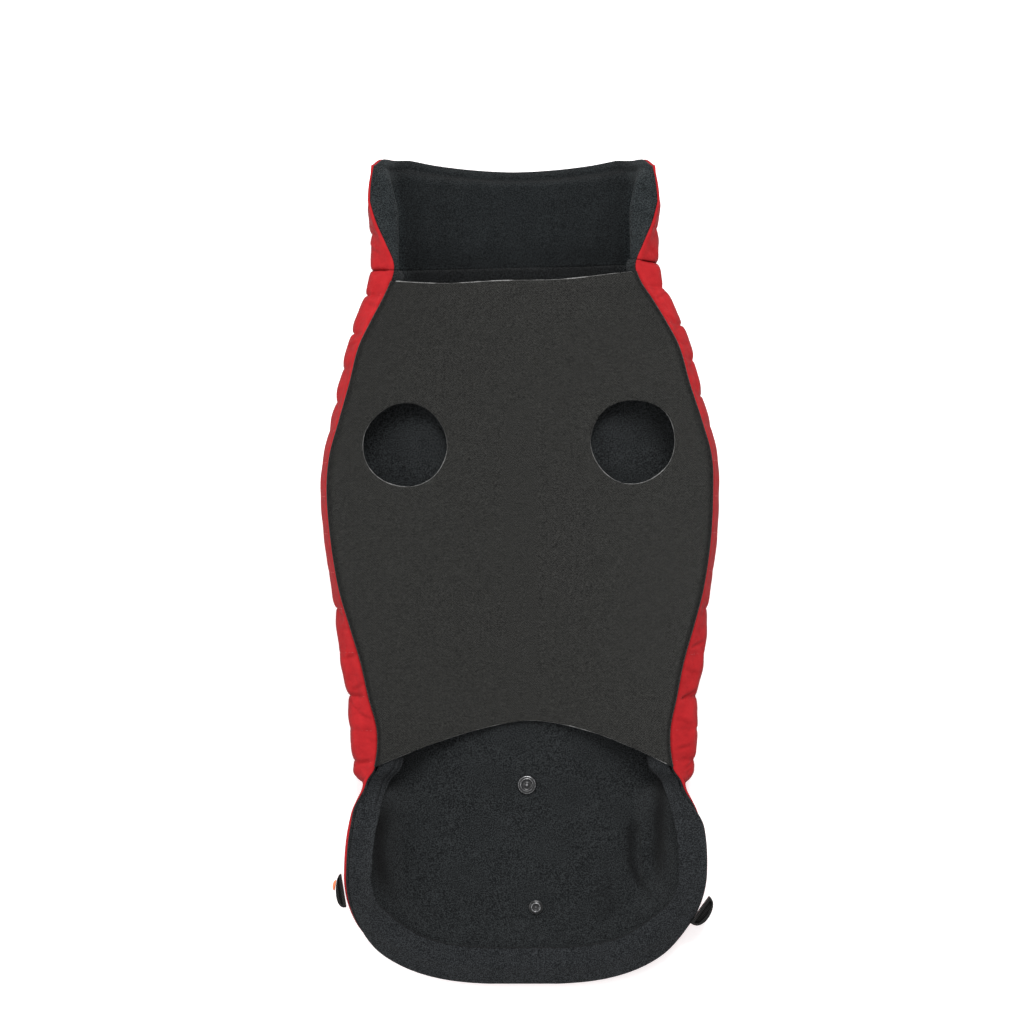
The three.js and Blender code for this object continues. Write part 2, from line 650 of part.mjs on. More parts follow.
const coat = new THREE.Group();
coat.add(mesh("back_shell", backShell(), looks.shell));
coat.add(mesh("back_lining", backLining(), looks.fleece));
coat.add(mesh("collar_shell", collarShell(), looks.shell));
coat.add(mesh("collar_lining", collarLining(), looks.fleece));
coat.add(mesh("belly_panel", bellyPanel(), looks.stretch));
coat.add(mesh("hem_facing", facingBand(), looks.fleece));

for (const { name, profile, x, y } of studs) {
  const stud = mesh(name, turned(profile, 20), looks.metal);
  stud.position.set(x, y, liningTop + seamGap);
  coat.add(stud);
}
for (const tab of tabs) coat.add(mesh(tab.name, hemTab(tab), looks.tape));
coat.add(mesh("tab_spot", spotDome(), looks.spot));

export default coat;
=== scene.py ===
# %% [markdown]
# # A dog's winter coat, laid on its back
# The coat lies belly side up. Its quilted back curls up at both sides, a stretch panel with leg holes closes
# the belly, and the neck and tail ends lie open over a dark fleece lining. This file dresses the plain solids
# of the coat: each cloth gets a fine surface of its own, its sewing and its weave.

# %% Load the solids
import math

import bmesh
import bpy
import numpy as np
from mathutils import Matrix, Vector


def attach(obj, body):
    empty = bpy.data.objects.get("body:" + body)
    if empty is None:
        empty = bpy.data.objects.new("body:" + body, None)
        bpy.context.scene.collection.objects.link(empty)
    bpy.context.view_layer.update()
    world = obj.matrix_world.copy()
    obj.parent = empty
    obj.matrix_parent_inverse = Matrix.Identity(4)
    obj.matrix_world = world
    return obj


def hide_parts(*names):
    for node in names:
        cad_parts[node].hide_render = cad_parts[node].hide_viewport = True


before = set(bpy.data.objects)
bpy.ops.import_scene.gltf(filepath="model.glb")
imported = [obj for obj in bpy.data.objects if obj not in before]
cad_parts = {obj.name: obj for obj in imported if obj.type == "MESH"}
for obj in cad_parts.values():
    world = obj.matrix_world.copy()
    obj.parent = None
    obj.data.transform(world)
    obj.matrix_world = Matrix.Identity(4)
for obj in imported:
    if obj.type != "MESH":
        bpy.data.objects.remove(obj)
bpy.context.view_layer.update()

print("solids:", sorted(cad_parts))

# %% [markdown]
# ## The view
# The photograph looks straight down on the coat from far away, so a long lens does the same here. One pixel of
# its 1024 stands for 0.645 mm of cloth, which the 12 mm press stud in the lining gives. The camera hangs over
# the middle of the picture, and its lens follows from the width of the view and the distance.

# %% Camera
MM = 0.001
PIXEL = 0.645  # millimetres of cloth
PICTURE = 1024
PICTURE_MIDDLE = (-4.84, 38.4)  # millimetres
CAMERA_HEIGHT = 2600.0
CLOTH_HEIGHT = 20.0  # where the pixel size holds

camera = bpy.data.objects.new("camera", bpy.data.cameras.new("camera"))
bpy.context.scene.collection.objects.link(camera)
camera.location = (PICTURE_MIDDLE[0] * MM, PICTURE_MIDDLE[1] * MM, (CAMERA_HEIGHT + CLOTH_HEIGHT) * MM)
camera.data.sensor_width = 36
camera.data.lens = 36 * CAMERA_HEIGHT / (PIXEL * PICTURE)
bpy.context.scene.camera = camera
print(f"lens {camera.data.lens:.0f} mm")

# %% [markdown]
# ## Light and floor
# Product photographers light such a coat from beyond its neck with a large soft source, and fill the rest from
# all round. A white floor stands in for the bright sheet below. It belongs to the stage, not to the coat.


# %% Lamps, sky and floor
def soft_lamp(name, place, target, size, power):
    lamp = bpy.data.objects.new(name, bpy.data.lights.new(name, "AREA"))
    lamp.data.size = size
    lamp.data.energy = power
    lamp.location = place
    lamp.rotation_euler = (Vector(target) - Vector(place)).to_track_quat("-Z", "Y").to_euler()
    bpy.context.scene.collection.objects.link(lamp)


soft_lamp("lamp_neck", (0.2, 1.5, 1.7), (0, 0, 0), 1.1, 48)
soft_lamp("lamp_left", (-1.5, 0.1, 1.3), (0, 0, 0), 1.0, 12)

world = bpy.data.worlds.new("studio")
bpy.context.scene.world = world
world.use_nodes = True
background = world.node_tree.nodes["Background"].inputs
background["Color"].default_value = (1, 1, 1, 1)
background["Strength"].default_value = 0.8
bpy.context.scene.view_settings.view_transform = "Standard"

bm = bmesh.new()
bmesh.ops.create_grid(bm, x_segments=1, y_segments=1, size=3)
floor_mesh = bpy.data.meshes.new("floor")
bm.to_mesh(floor_mesh)
bm.free()
floor = bpy.data.objects.new("floor", floor_mesh)
bpy.context.scene.collection.objects.link(floor)
floor_look = bpy.data.materials.new("floor_white")
floor_look.use_nodes = True
floor_inputs = floor_look.node_tree.nodes["Principled BSDF"].inputs
floor_inputs["Base Color"].default_value = (0.93, 0.93, 0.93, 1)
floor_inputs["Roughness"].default_value = 0.9
floor_inputs["Emission Color"].default_value = (1, 1, 1, 1)
floor_inputs["Emission Strength"].default_value = 0.4
floor_mesh.materials.append(floor_look)
print("stage is set")

# %% [markdown]
# ## The form that all layers share
# A maker cuts a coat from flat cloth, and every layer of it then follows one curved sheet. Here the same idea
# saves work: one function gives the sheet's place for a point of the cut, and shell, lining and belly panel are
# that sheet moved outwards or inwards. Across the coat, v runs from the left rim, -1, to the right rim, 1.
# Along the coat, y is the distance towards the neck in millimetres.

# %% Sizes of the cut
# In millimetres, apart from shares of the width or length, powers and angles
NECK_END, TAIL_END = 265.4, -265.4
TAIL_ROW = TAIL_END + 0.2
COLLAR_SEAM = 196.4
COLLAR_DIP, DIP_REACH, DIP_POWER = 7.3, 0.64, 1.7
CORNER_FROM, CORNER_DROP = 0.88, 4.6
BELLY_NECK, BELLY_REAR = 189.3, -124.8
REAR_ARCH = 28.3
HEM_WIDEST = -194.0
SEAM_GAP, EDGE_GAP = 0.3, 0.7
LEAN = math.radians(0.9)
BASE_SHARE = 0.62
CORNER_RADIUS, TURN_RADIUS, LIP = 15.0, 11.0, 13.0

# y, half the outline's width, how far the rim stands in from it, the rim's height, the wall's rise in
# degrees, and how far the middle lies off its straight axis
SECTIONS = np.array(
    [
        (265.4, 90.0, -3.0, 36, 76, 0.0),
        (250.0, 93.0, -0.8, 38, 80, 0.0),
        (237.0, 93.8, 1.5, 40, 84, 0.0),
        (222.0, 93.2, 3.9, 42, 90, 0.0),
        (209.0, 92.4, 9.0, 43, 90, 0.0),
        (196.4, 93.0, 14.8, 43, 90, 0.0),
        (186.0, 94.9, 14.2, 43, 90, 0.4),
        (175.0, 99.2, 12.4, 42, 90, 1.4),
        (159.6, 106.0, 10.5, 42, 90, 1.8),
        (144.0, 111.0, 7.8, 41, 90, 1.9),
        (121.0, 116.0, 6.6, 40, 90, 1.9),
        (97.7, 121.6, 5.2, 40, 90, 2.1),
        (74.5, 126.6, 3.9, 40, 90, 1.8),
        (51.3, 128.0, 4.0, 40, 90, 1.0),
        (20.3, 126.2, 4.2, 40, 90, 1.0),
        (-10.6, 121.8, 4.6, 40, 90, 0.8),
        (-33.9, 119.4, 8.4, 39, 90, 0.8),
        (-57.1, 117.0, 12.7, 39, 90, 0.7),
        (-80.3, 112.8, 13.4, 38, 90, 0.7),
        (-102.2, 112.0, 17.4, 38, 90, 1.0),
        (-124.8, 110.0, 13.5, 37, 90, 0.8),
        (-133.0, 109.8, 8.0, 36, 90, 0.8),
        (-142.0, 107.5, 3.5, 35, 90, 0.8),
        (-150.0, 109.5, 2.0, 34, 90, 0.8),
        (-160.0, 113.0, 2.0, 33, 90, 0.8),
        (-190.0, 113.0, 2.0, 33, 90, 0.0),
        (-230.0, 113.0, 2.0, 33, 90, -1.8),
    ]
)[::-1]
OUTLINE, STRIP, HEIGHT, RISE, SHIFT = 1, 2, 3, 4, 5

HEM_HALF_WIDTH, HEM_RIM, HEM_TAIL, HEM_RUN, HEM_FLAT = 116.6, 31.0, 9.5, 40.0, 0.64
HEM_DRAWN_IN, HEM_DRAW_POWER = 18.0, 2.5
HEM_ALONG, HEM_ACROSS = 2.0, 3.0
HEM_FALL_FROM, HEM_FALL_TO = -182.0, -250.5
HEM_FLARE = 1.2
BLEND_FROM, BLEND_TO = -127.0, -155.0


def mix(a, b, t):
    return a + (b - a) * t


def smooth(start, end, x):
    t = np.clip((x - start) / (end - start), 0, 1)
    return t * t * (3 - 2 * t)


def column(k, y):
    """One column of the section table at y, on a smooth curve through its rows."""
    ys, values = SECTIONS[:, 0], SECTIONS[:, k]
    y = np.clip(y, ys[0], ys[-1])
    last = len(ys) - 1
    before, after = np.maximum(np.arange(last + 1) - 1, 0), np.minimum(np.arange(last + 1) + 1, last)
    slopes = (values[after] - values[before]) / (ys[after] - ys[before])
    i = np.clip(np.searchsorted(ys, y, side="right") - 1, 0, last - 1)
    span = ys[i + 1] - ys[i]
    t = (y - ys[i]) / span
    return (
        values[i] * (1 + 2 * t) * (1 - t) ** 2
        + values[i + 1] * t * t * (3 - 2 * t)
        + slopes[i] * span * t * (1 - t) ** 2
        + slopes[i + 1] * span * t * t * (t - 1)
    )


print(f"{len(SECTIONS)} sections from tail to neck")

# %% [markdown]
# The side wall is a chain of simple bends: the floor turns up round a corner, climbs, turns over and ends in a
# straight lip. Walking along the chain in small steps, adding the direction at each step, draws the curve
# without any trigonometry puzzles.

# %% Side wall of the coat at every millimetre of its length
WALL_STEPS = 48
WALL_YS = np.linspace(TAIL_END, NECK_END, 531)


def side_walls(y):
    rise, strip = np.radians(column(RISE, y)), column(STRIP, y)
    offset = np.arcsin((np.abs(strip) - TURN_RADIUS) / math.hypot(TURN_RADIUS, LIP))
    turn = np.sign(strip) * (math.atan2(TURN_RADIUS, LIP) + offset)
    bend = np.sign(turn) * TURN_RADIUS
    above = CORNER_RADIUS * (1 - np.cos(rise)) + bend * (np.cos(rise) - np.cos(rise + turn))
    above = above + LIP * np.sin(rise + turn)
    climb = np.maximum(0, column(HEIGHT, y) - above) / np.sin(rise)
    corner_end = CORNER_RADIUS * rise
    turn_end = corner_end + climb + np.abs(bend * turn)
    total = turn_end + LIP
    s = (np.arange(WALL_STEPS)[None] + 0.5) / WALL_STEPS * total[:, None]
    rise, turn, bend, climb = (a[:, None] for a in (rise, turn, bend, climb))
    corner_end, turn_end = corner_end[:, None], turn_end[:, None]
    angle = np.where(s < corner_end, s / CORNER_RADIUS, rise)
    angle = np.where(s > corner_end + climb, rise + (s - corner_end - climb) / bend, angle)
    angle = np.where(s > turn_end, rise + turn, angle)
    step = total[:, None] / WALL_STEPS
    start = np.zeros((len(y), 1))
    x = np.hstack([start, np.cumsum(step * np.cos(angle), axis=1)])
    z = np.hstack([start, np.cumsum(step * np.sin(angle), axis=1)])
    return column(OUTLINE, y) - x.max(axis=1), total, x, z


WALL_BASE, WALL_TOTAL, WALL_X, WALL_Z = side_walls(WALL_YS)
print(f"side wall: {WALL_TOTAL.min():.0f} to {WALL_TOTAL.max():.0f} mm of cloth from floor to rim")

# %% [markdown]
# Near the tail the coat is a shallow tray instead. Its rim flares outwards, and the floor rises to it over
# four centimetres. The height depends only on the distance to the hem, so the tray rounds the tail by itself.


# %% The tray at the tail and the whole sheet
def hem_half_width(y):
    ahead = np.clip((y - HEM_WIDEST) / (BELLY_REAR - HEM_WIDEST), 0, 1)
    behind = np.clip((HEM_WIDEST - y) / (HEM_WIDEST - TAIL_END), 0, 1)
    rounded = HEM_HALF_WIDTH * (1 - behind**HEM_ALONG) ** (1 / HEM_ACROSS)
    return np.where(y > HEM_WIDEST, HEM_HALF_WIDTH - HEM_DRAWN_IN * ahead**HEM_DRAW_POWER, rounded)


hem_ys = np.r_[BELLY_REAR + 70, mix(BELLY_REAR, TAIL_END, np.sin(np.linspace(0, math.pi / 2, 91)))]
HEM_LINE = np.c_[hem_half_width(np.clip(hem_ys, TAIL_END, BELLY_REAR)), hem_ys]


def distance_to_hem(x, y):
    best = np.full(np.shape(x), np.inf)
    for a, b in zip(HEM_LINE, HEM_LINE[1:]):
        d = b - a
        t = np.clip(((x - a[0]) * d[0] + (y - a[1]) * d[1]) / (d @ d), 0, 1)
        best = np.minimum(best, np.hypot(x - a[0] - t * d[0], y - a[1] - t * d[1]))
    return best


def tray_height(x, y):
    t = np.clip(distance_to_hem(x, y) / HEM_RUN, 0, 1)
    share = mix(1 - HEM_FLARE * t, (1 - t) ** 2 * (1 + 2 * t), smooth(0.1, 0.75, t))
    return mix(HEM_RIM, HEM_TAIL, smooth(HEM_FALL_FROM, HEM_FALL_TO, y)) * share


def middle_at(y):
    return column(SHIFT, y) - y * math.tan(LEAN)


def sheet(v, y):
    """Places on the sheet, in millimetres."""
    v, y = np.broadcast_arrays(np.asarray(v, float), np.asarray(y, float))
    inside, side = np.maximum(y, TAIL_ROW), np.abs(v)
    row = np.clip((inside - WALL_YS[0]) / (WALL_YS[1] - WALL_YS[0]), 0, len(WALL_YS) - 1.001)
    at = np.clip((side - BASE_SHARE) / (1 - BASE_SHARE), 0, 1) * WALL_STEPS
    i, j = row.astype(int), np.minimum(at.astype(int), WALL_STEPS - 1)
    fi, fj = row - i, at - j

    def wall(table):
        return mix(mix(table[i, j], table[i, j + 1], fj), mix(table[i + 1, j], table[i + 1, j + 1], fj), fi)

    base = mix(WALL_BASE[i], WALL_BASE[i + 1], fi)
    body_x = np.where(side <= BASE_SHARE, base * side / BASE_SHARE, base + wall(WALL_X))
    body_z = np.where(side <= BASE_SHARE, 0, wall(WALL_Z))
    spread = mix(HEM_FLAT, 1, (side - BASE_SHARE) / (1 - BASE_SHARE))
    tray_x = hem_half_width(inside) * np.where(side <= BASE_SHARE, HEM_FLAT * side / BASE_SHARE, spread)
    at_tail = inside < BLEND_FROM
    tray_z = np.zeros_like(tray_x)
    tray_z[at_tail] = tray_height(tray_x[at_tail], inside[at_tail])
    share = smooth(BLEND_FROM, BLEND_TO, inside)
    x = np.sign(v) * mix(body_x, tray_x, share) + middle_at(y)
    return np.stack([x, y, mix(body_z, tray_z, share)], axis=-1)


STEP_ACROSS, STEP_ALONG, TAIL_MARGIN = 0.006, 0.6, 2.5


def outward(v, y):
    """Unit vectors out of the coat. At both ends they are taken a little inside."""
    y = np.clip(y, TAIL_ROW + TAIL_MARGIN, NECK_END - STEP_ALONG)
    across = sheet(np.minimum(1, v + STEP_ACROSS), y) - sheet(np.maximum(-1, v - STEP_ACROSS), y)
    along = sheet(v, y + STEP_ALONG) - sheet(v, y - STEP_ALONG)
    n = np.cross(along, across)
    return n / np.linalg.norm(n, axis=-1, keepdims=True)


print("sheet width at the chest:", np.round(sheet(np.array([-1, 1]), np.array([51.3, 51.3]))[:, 0], 1))

# %% [markdown]
# Towards every seam the layers are pinched together. The same measure, the distance to the rim, tells each
# layer how thick it may be.

# %% Thickness of the layers
QUILT_GROOVE, QUILT_CREST, QUILT_RIM = 2.2, 5.2, 1.6
FLEECE_BODY, FLEECE_RIM = 2.0, 0.9
FACING_THICK, STRETCH_THICK = 1.8, 1.3
RIM_TAPER, RIM_ROUND = 11.0, 2.6
NECK_TILT = 0.035
# A fold in the shell's rim: its height, where it starts and ends along the coat, and where across
PIPING, PIPING_AHEAD, PIPING_BEHIND, PIPING_ACROSS = 1.5, (-145, -165), (-240, -218), (-0.8, -0.9)


def to_rim(v, y):
    side = (1 - np.abs(v)) / (1 - BASE_SHARE) * np.interp(y, WALL_YS, WALL_TOTAL)
    near_hem = distance_to_hem(np.abs(sheet(v, y)[..., 0] - middle_at(y)), y) * HEM_FLARE
    return np.where(y > BLEND_FROM, side, np.minimum(side, near_hem))


def pinch(v, y):
    return smooth(0, RIM_TAPER, to_rim(v, y))


def on_wall(v):
    return smooth(BASE_SHARE - 0.04, BASE_SHARE + 0.1, np.abs(v))


def shell_inside(v, y):
    """The shell's inner face. On the left of the hem it is folded thicker, so a line of red shows there."""
    piping = PIPING * smooth(*PIPING_AHEAD, y) * smooth(*PIPING_BEHIND, y) * smooth(*PIPING_ACROSS, v)
    return -mix(QUILT_RIM + piping, QUILT_CREST, pinch(v, y))


# Loose lining at the tail, raised or sunk: middle, direction, half length, half width, height
FOLDS = [
    (84, -180, 88, 30, 5.5, 3.8),
    (-70, -172, 95, 30, 8, 1.8),
    (74.5, -180, 90, 28, 3.4, -1.7),
    (94, -172, 88, 36, 3.6, -1.6),
    (62, -214, 40, 20, 6, 1.6),
    (-40, -225, 160, 26, 7, 1.2),
]


def fold_height(v, y):
    p, total = sheet(v, y), 0
    for x0, y0, turn, half_long, half_wide, height in FOLDS:
        c, s = math.cos(math.radians(turn)), math.sin(math.radians(turn))
        dx, dy = p[..., 0] - x0, p[..., 1] - y0
        fade = 1 - smooth(0.2, 1, np.abs(dx * c + dy * s) / half_long)
        total = total + height * fade * np.exp(-(((dy * c - dx * s) / half_wide) ** 2))
    return total


def lining_inside(v, y):
    p = pinch(v, y)
    return shell_inside(v, y) - SEAM_GAP - mix(FLEECE_RIM, FLEECE_BODY, p) - fold_height(v, y) * p


def layer(v, y, distance):
    """Places on a layer, in millimetres. Nothing lies below the floor."""
    p = sheet(v, y) + outward(v, y) * np.asarray(distance)[..., None]
    p[..., 2] = np.maximum(p[..., 2], 0)
    return p


def tilted(y, v):
    """Rows across the coat slope a little near the neck."""
    return y + NECK_TILT * smooth(0, 200, y) * column(OUTLINE, y) * v


print("lining lies", QUILT_CREST + SEAM_GAP + FLEECE_BODY, "mm above the floor")

# %% [markdown]
# ## Cloth from a flat grid
# Each cloth starts as a flat grid, as it lies on the cutting table. Every vertex remembers its place in the
# cut, the grid is extruded once to give the cloth a second face, and then both faces are moved to where the cut
# says. The cut is also the UV map, in millimetres, so the weave runs with the cloth round every bend.


# %% Helper that drapes a cut
def even_columns(floor_steps, wall_steps):
    half = np.r_[np.linspace(0, BASE_SHARE, floor_steps + 1), np.linspace(BASE_SHARE, 1, wall_steps + 1)[1:]]
    return np.r_[-half[:0:-1], half]


def keep(bm, name, looks):
    """Makes an object of a finished bmesh."""
    mesh = bpy.data.meshes.new(name)
    bm.to_mesh(mesh)
    bm.free()
    piece = bpy.data.objects.new(name, mesh)
    bpy.context.scene.collection.objects.link(piece)
    for look in looks:
        mesh.materials.append(look)
    mesh.shade_smooth()
    return piece


def move(verts, places):
    for vert, place in zip(verts, places * MM):
        vert.co = place


CUT_HALF = 150.0  # half the width of the back's cut


def drape(columns, rows, top, bottom, width=CUT_HALF):
    """A closed cloth: top and bottom give places in millimetres for arrays of column and row values."""
    bm = bmesh.new()
    bmesh.ops.create_grid(bm, x_segments=len(columns) - 1, y_segments=len(rows) - 1, size=0.5)
    across, along = bm.verts.layers.float.new("across"), bm.verts.layers.float.new("along")
    for vert in bm.verts:
        vert[across] = columns[round((vert.co.x + 0.5) * (len(columns) - 1))]
        vert[along] = rows[round((vert.co.y + 0.5) * (len(rows) - 1))]
    first = list(bm.verts)
    made = bmesh.ops.extrude_face_region(bm, geom=bm.faces[:], use_keep_orig=True)
    second = [item for item in made["geom"] if isinstance(item, bmesh.types.BMVert)]
    for verts, place in ((first, bottom), (second, top)):
        values = np.array([(vert[across], vert[along]) for vert in verts])
        move(verts, place(values[:, 0], values[:, 1]))
    bmesh.ops.recalc_face_normals(bm, faces=bm.faces[:])
    uv = bm.loops.layers.uv.new("cut")
    for face in bm.faces:
        for loop in face.loops:
            loop[uv].uv = (loop.vert[across] * width, loop.vert[along])
    return bm


def declare(piece, slot, *nodes):
    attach(piece, "root")
    if nodes:
        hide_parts(*nodes)
    print(f"{piece.name}: {len(piece.data.polygons)} faces")


# %% [markdown]
# ## Finishes
# Three cloths make the coat. Their patterns are built once as node groups and used at different scales: a
# plain weave of crossing threads, the speckle of brushed pile, and a grain for creases, fuzz and scratches.


# %% Node groups
def new_group(name, inputs, outputs):
    group = bpy.data.node_groups.new(name, "ShaderNodeTree")
    for label, kind, value in inputs:
        socket = group.interface.new_socket(label, in_out="INPUT", socket_type=kind)
        if value is not None:
            socket.default_value = value
    for label, kind in outputs:
        group.interface.new_socket(label, in_out="OUTPUT", socket_type=kind)
    return group, group.nodes.new("NodeGroupInput"), group.nodes.new("NodeGroupOutput")


def math_node(tree, operation, a, b=None):
    node = tree.nodes.new("ShaderNodeMath")
    node.operation = operation
    for socket, value in zip(node.inputs, (a, b)):
        if isinstance(value, (int, float)):
            socket.default_value = value
        elif value is not None:
            tree.links.new(value, socket)
    return node.outputs[0]


def noise(tree, vector, **values):
    node = tree.nodes.new("ShaderNodeTexNoise")
    for label, value in values.items():
        node.inputs[label].default_value = value
    tree.links.new(vector, node.inputs["Vector"])
    return node.outputs["Fac"]


VECTOR, HEIGHT_OUT = ("Vector", "NodeSocketVector", None), ("Height", "NodeSocketFloat")
GRAIN_VALUES = {"Scale": 1.0, "Detail": 2.0, "Roughness": 0.5}


def grain_group():
    values = [(label, "NodeSocketFloat", value) for label, value in GRAIN_VALUES.items()]
    group, start, end = new_group("fine_grain", [VECTOR, *values], [HEIGHT_OUT])
    speckle = group.nodes.new("ShaderNodeTexNoise")
    for label in ("Vector", *GRAIN_VALUES):
        group.links.new(start.outputs[label], speckle.inputs[label])
    group.links.new(speckle.outputs["Fac"], end.inputs["Height"])
    return group


def weave_group():
    group, start, end = new_group("plain_weave", [VECTOR, ("Threads", "NodeSocketFloat", 1.0)], [HEIGHT_OUT])
    split = group.nodes.new("ShaderNodeSeparateXYZ")
    group.links.new(start.outputs["Vector"], split.inputs[0])
    phase = [math_node(group, "MULTIPLY", split.outputs[k], start.outputs["Threads"]) for k in (0, 1)]
    wave = [math_node(group, "SINE", math_node(group, "MULTIPLY", p, 2 * math.pi)) for p in phase]
    product = math_node(group, "MULTIPLY", wave[0], wave[1])
    fine = [math_node(group, "SINE", math_node(group, "MULTIPLY", p, 4 * math.pi)) for p in phase]
    ridges = math_node(group, "MULTIPLY", math_node(group, "ADD", fine[0], fine[1]), 0.35)
    height = math_node(group, "ADD", product, ridges)
    group.links.new(height, end.inputs["Height"])
    return group


def pile_group():
    values = [VECTOR, ("Scale", "NodeSocketFloat", 1.0)]
    group, start, end = new_group("brushed_pile", values, [HEIGHT_OUT, ("Tone", "NodeSocketFloat")])
    scaled = group.nodes.new("ShaderNodeVectorMath")
    scaled.operation = "SCALE"
    group.links.new(start.outputs["Vector"], scaled.inputs[0])
    group.links.new(start.outputs["Scale"], scaled.inputs["Scale"])
    tufts = noise(group, scaled.outputs[0], Scale=1.0, Detail=2.0, Roughness=0.75)
    patches = noise(group, scaled.outputs[0], Scale=0.06, Detail=1.0, Roughness=0.5)
    group.links.new(tufts, end.inputs["Height"])
    shares = [math_node(group, "MULTIPLY", part, share) for part, share in ((tufts, 0.94), (patches, 0.06))]
    group.links.new(math_node(group, "ADD", *shares), end.inputs["Tone"])
    return group


WEAVE, PILE, GRAIN = weave_group(), pile_group(), grain_group()
print("groups:", WEAVE.name, PILE.name, GRAIN.name)


# %% Helpers for materials
def new_look(name, roughness, **sockets):
    look = bpy.data.materials.new(name)
    look.use_nodes = True
    shader = look.node_tree.nodes["Principled BSDF"]
    shader.inputs["Roughness"].default_value = roughness
    for label, value in sockets.items():
        shader.inputs[label.replace("_", " ")].default_value = value
    return look, look.node_tree, shader


def place_group(tree, group, vector, **values):
    node = tree.nodes.new("ShaderNodeGroup")
    node.node_tree = group
    tree.links.new(vector, node.inputs["Vector"])
    for label, value in values.items():
        node.inputs[label].default_value = value
    return node


def grain(tree, vector, scale, detail=2.0, roughness=0.5):
    return place_group(tree, GRAIN, vector, Scale=scale, Detail=detail, Roughness=roughness).outputs["Height"]


def ramp(tree, factor, *stops):
    node = tree.nodes.new("ShaderNodeValToRGB")
    while len(node.color_ramp.elements) < len(stops):
        node.color_ramp.elements.new(0.5)
    for element, (position, color) in zip(node.color_ramp.elements, stops):
        element.position = position
        element.color = (*color, 1)
    tree.links.new(factor, node.inputs["Fac"])
    return node.outputs["Color"]


def multiplied(tree, color, shade):
    node = tree.nodes.new("ShaderNodeMix")
    node.data_type, node.blend_type = "RGBA", "MULTIPLY"
    node.inputs["Factor"].default_value = 1.0
    colors = [socket for socket in node.inputs if socket.type == "RGBA"]
    tree.links.new(color, colors[0])
    tree.links.new(shade, colors[1])
    return next(socket for socket in node.outputs if socket.type == "RGBA")


def bump(tree, shader, height, strength, distance, below=None):
    node = tree.nodes.new("ShaderNodeBump")
    node.inputs["Strength"].default_value = strength
    node.inputs["Distance"].default_value = distance * MM
    tree.links.new(height, node.inputs["Height"])
    if below is not None:
        tree.links.new(below, node.inputs["Normal"])
    tree.links.new(node.outputs["Normal"], shader.inputs["Normal"])
    return node.outputs["Normal"]


def in_millimetres(tree):
    """Object coordinates in millimetres."""
    place = tree.nodes.new("ShaderNodeTexCoord")
    scale = tree.nodes.new("ShaderNodeMapping")
    scale.inputs["Scale"].default_value = (1000, 1000, 1000)
    tree.links.new(place.outputs["Object"], scale.inputs["Vector"])
    return scale.outputs["Vector"]


def on_the_cut(tree):
    node = tree.nodes.new("ShaderNodeUVMap")
    node.uv_map = "cut"
    return node.outputs["UV"]


def stored(tree, name):
    """A value kept on the vertices."""
    node = tree.nodes.new("ShaderNodeAttribute")
    node.attribute_name = name
    return node.outputs["Fac"]


def grained_look(name, roughness, grain_size, dark, light, relief, **sockets):
    """A simple finish: one grain gives its colour, between two stops, and its relief."""
    look, tree, shader = new_look(name, roughness, **sockets)
    height = grain(tree, in_millimetres(tree), *grain_size)
    tree.links.new(ramp(tree, height, dark, light), shader.inputs["Base Color"])
    bump(tree, shader, height, *relief)
    return look


# %% [markdown]
# The lining is short fleece: almost black, a little blue, and speckled where the pile parts. Sheen gives the
# soft grey of fibre ends that catch the light. Deep in a gap hardly any light reaches the pile, so a value kept
# on the vertices darkens it there.


# %% Fleece
WHITE, DEEPEST = (1, 1, 1), (0.16, 0.16, 0.17)


def fleece_look(name, dark, light):
    look, tree, shader = new_look(name, 0.95, Specular_IOR_Level=0.06, Sheen_Weight=0.04, Sheen_Roughness=0.6)
    vector = in_millimetres(tree)
    pile = place_group(tree, PILE, vector, Scale=1.4)
    color = ramp(tree, pile.outputs["Tone"], (0.445, dark), (0.565, light))
    deep = ramp(tree, stored(tree, "gap"), (0.0, WHITE), (1.0, DEEPEST))
    tree.links.new(multiplied(tree, color, deep), shader.inputs["Base Color"])
    bump(tree, shader, pile.outputs["Height"], 1.0, 1.7)
    return look


FLEECE = fleece_look("fleece", (0.0024, 0.0032, 0.0038), (0.0300, 0.0335, 0.0353))
# Painted light: the facing and the collar's lining are the same fleece, in lighter copies for the light on the
# raised band and on the rolls.
FACING_LIT = fleece_look("fleece_facing_lit", (0.0040, 0.0050, 0.0060), (0.0358, 0.0392, 0.0426))
COLLAR_FLEECE_LIT = fleece_look("fleece_collar_lit", (0.0025, 0.0044, 0.0054), (0.0318, 0.0382, 0.0408))
print("finish:", FLEECE.name, FACING_LIT.name, COLLAR_FLEECE_LIT.name)

# %% [markdown]
# The shell is tightly woven nylon. It is bright red with hardly any gloss, and its threads are too fine to see
# one by one, so a faint weave and soft creases are enough. Where the cloth turns away it is painted darker, as
# shade on the sides that turn from the lamps. Layer Weight measures that turning.


# %% Red nylon
def nylon_look():
    look, tree, shader = new_look("red_nylon", 0.65, Specular_IOR_Level=0.04)
    cut, vector = on_the_cut(tree), in_millimetres(tree)
    weave = place_group(tree, WEAVE, cut, Threads=1.6)
    creases = grain(tree, vector, 0.16, 3.0, 0.55)
    color = ramp(tree, creases, (0.30, (0.300, 0.012, 0.015)), (0.70, (0.370, 0.015, 0.018)))
    # Painted shade: the red's colour darkens where the cloth turns away from the view.
    turned = tree.nodes.new("ShaderNodeLayerWeight")
    turned.inputs["Blend"].default_value = 0.5
    shade = ramp(tree, turned.outputs["Facing"], (0.35, WHITE), (0.95, (0.50, 0.36, 0.40)))
    tree.links.new(multiplied(tree, color, shade), shader.inputs["Base Color"])
    first = bump(tree, shader, creases, 0.5, 1.6)
    bump(tree, shader, weave.outputs["Height"], 0.25, 0.08, first)
    return look


NYLON = nylon_look()
print("finish:", NYLON.name)
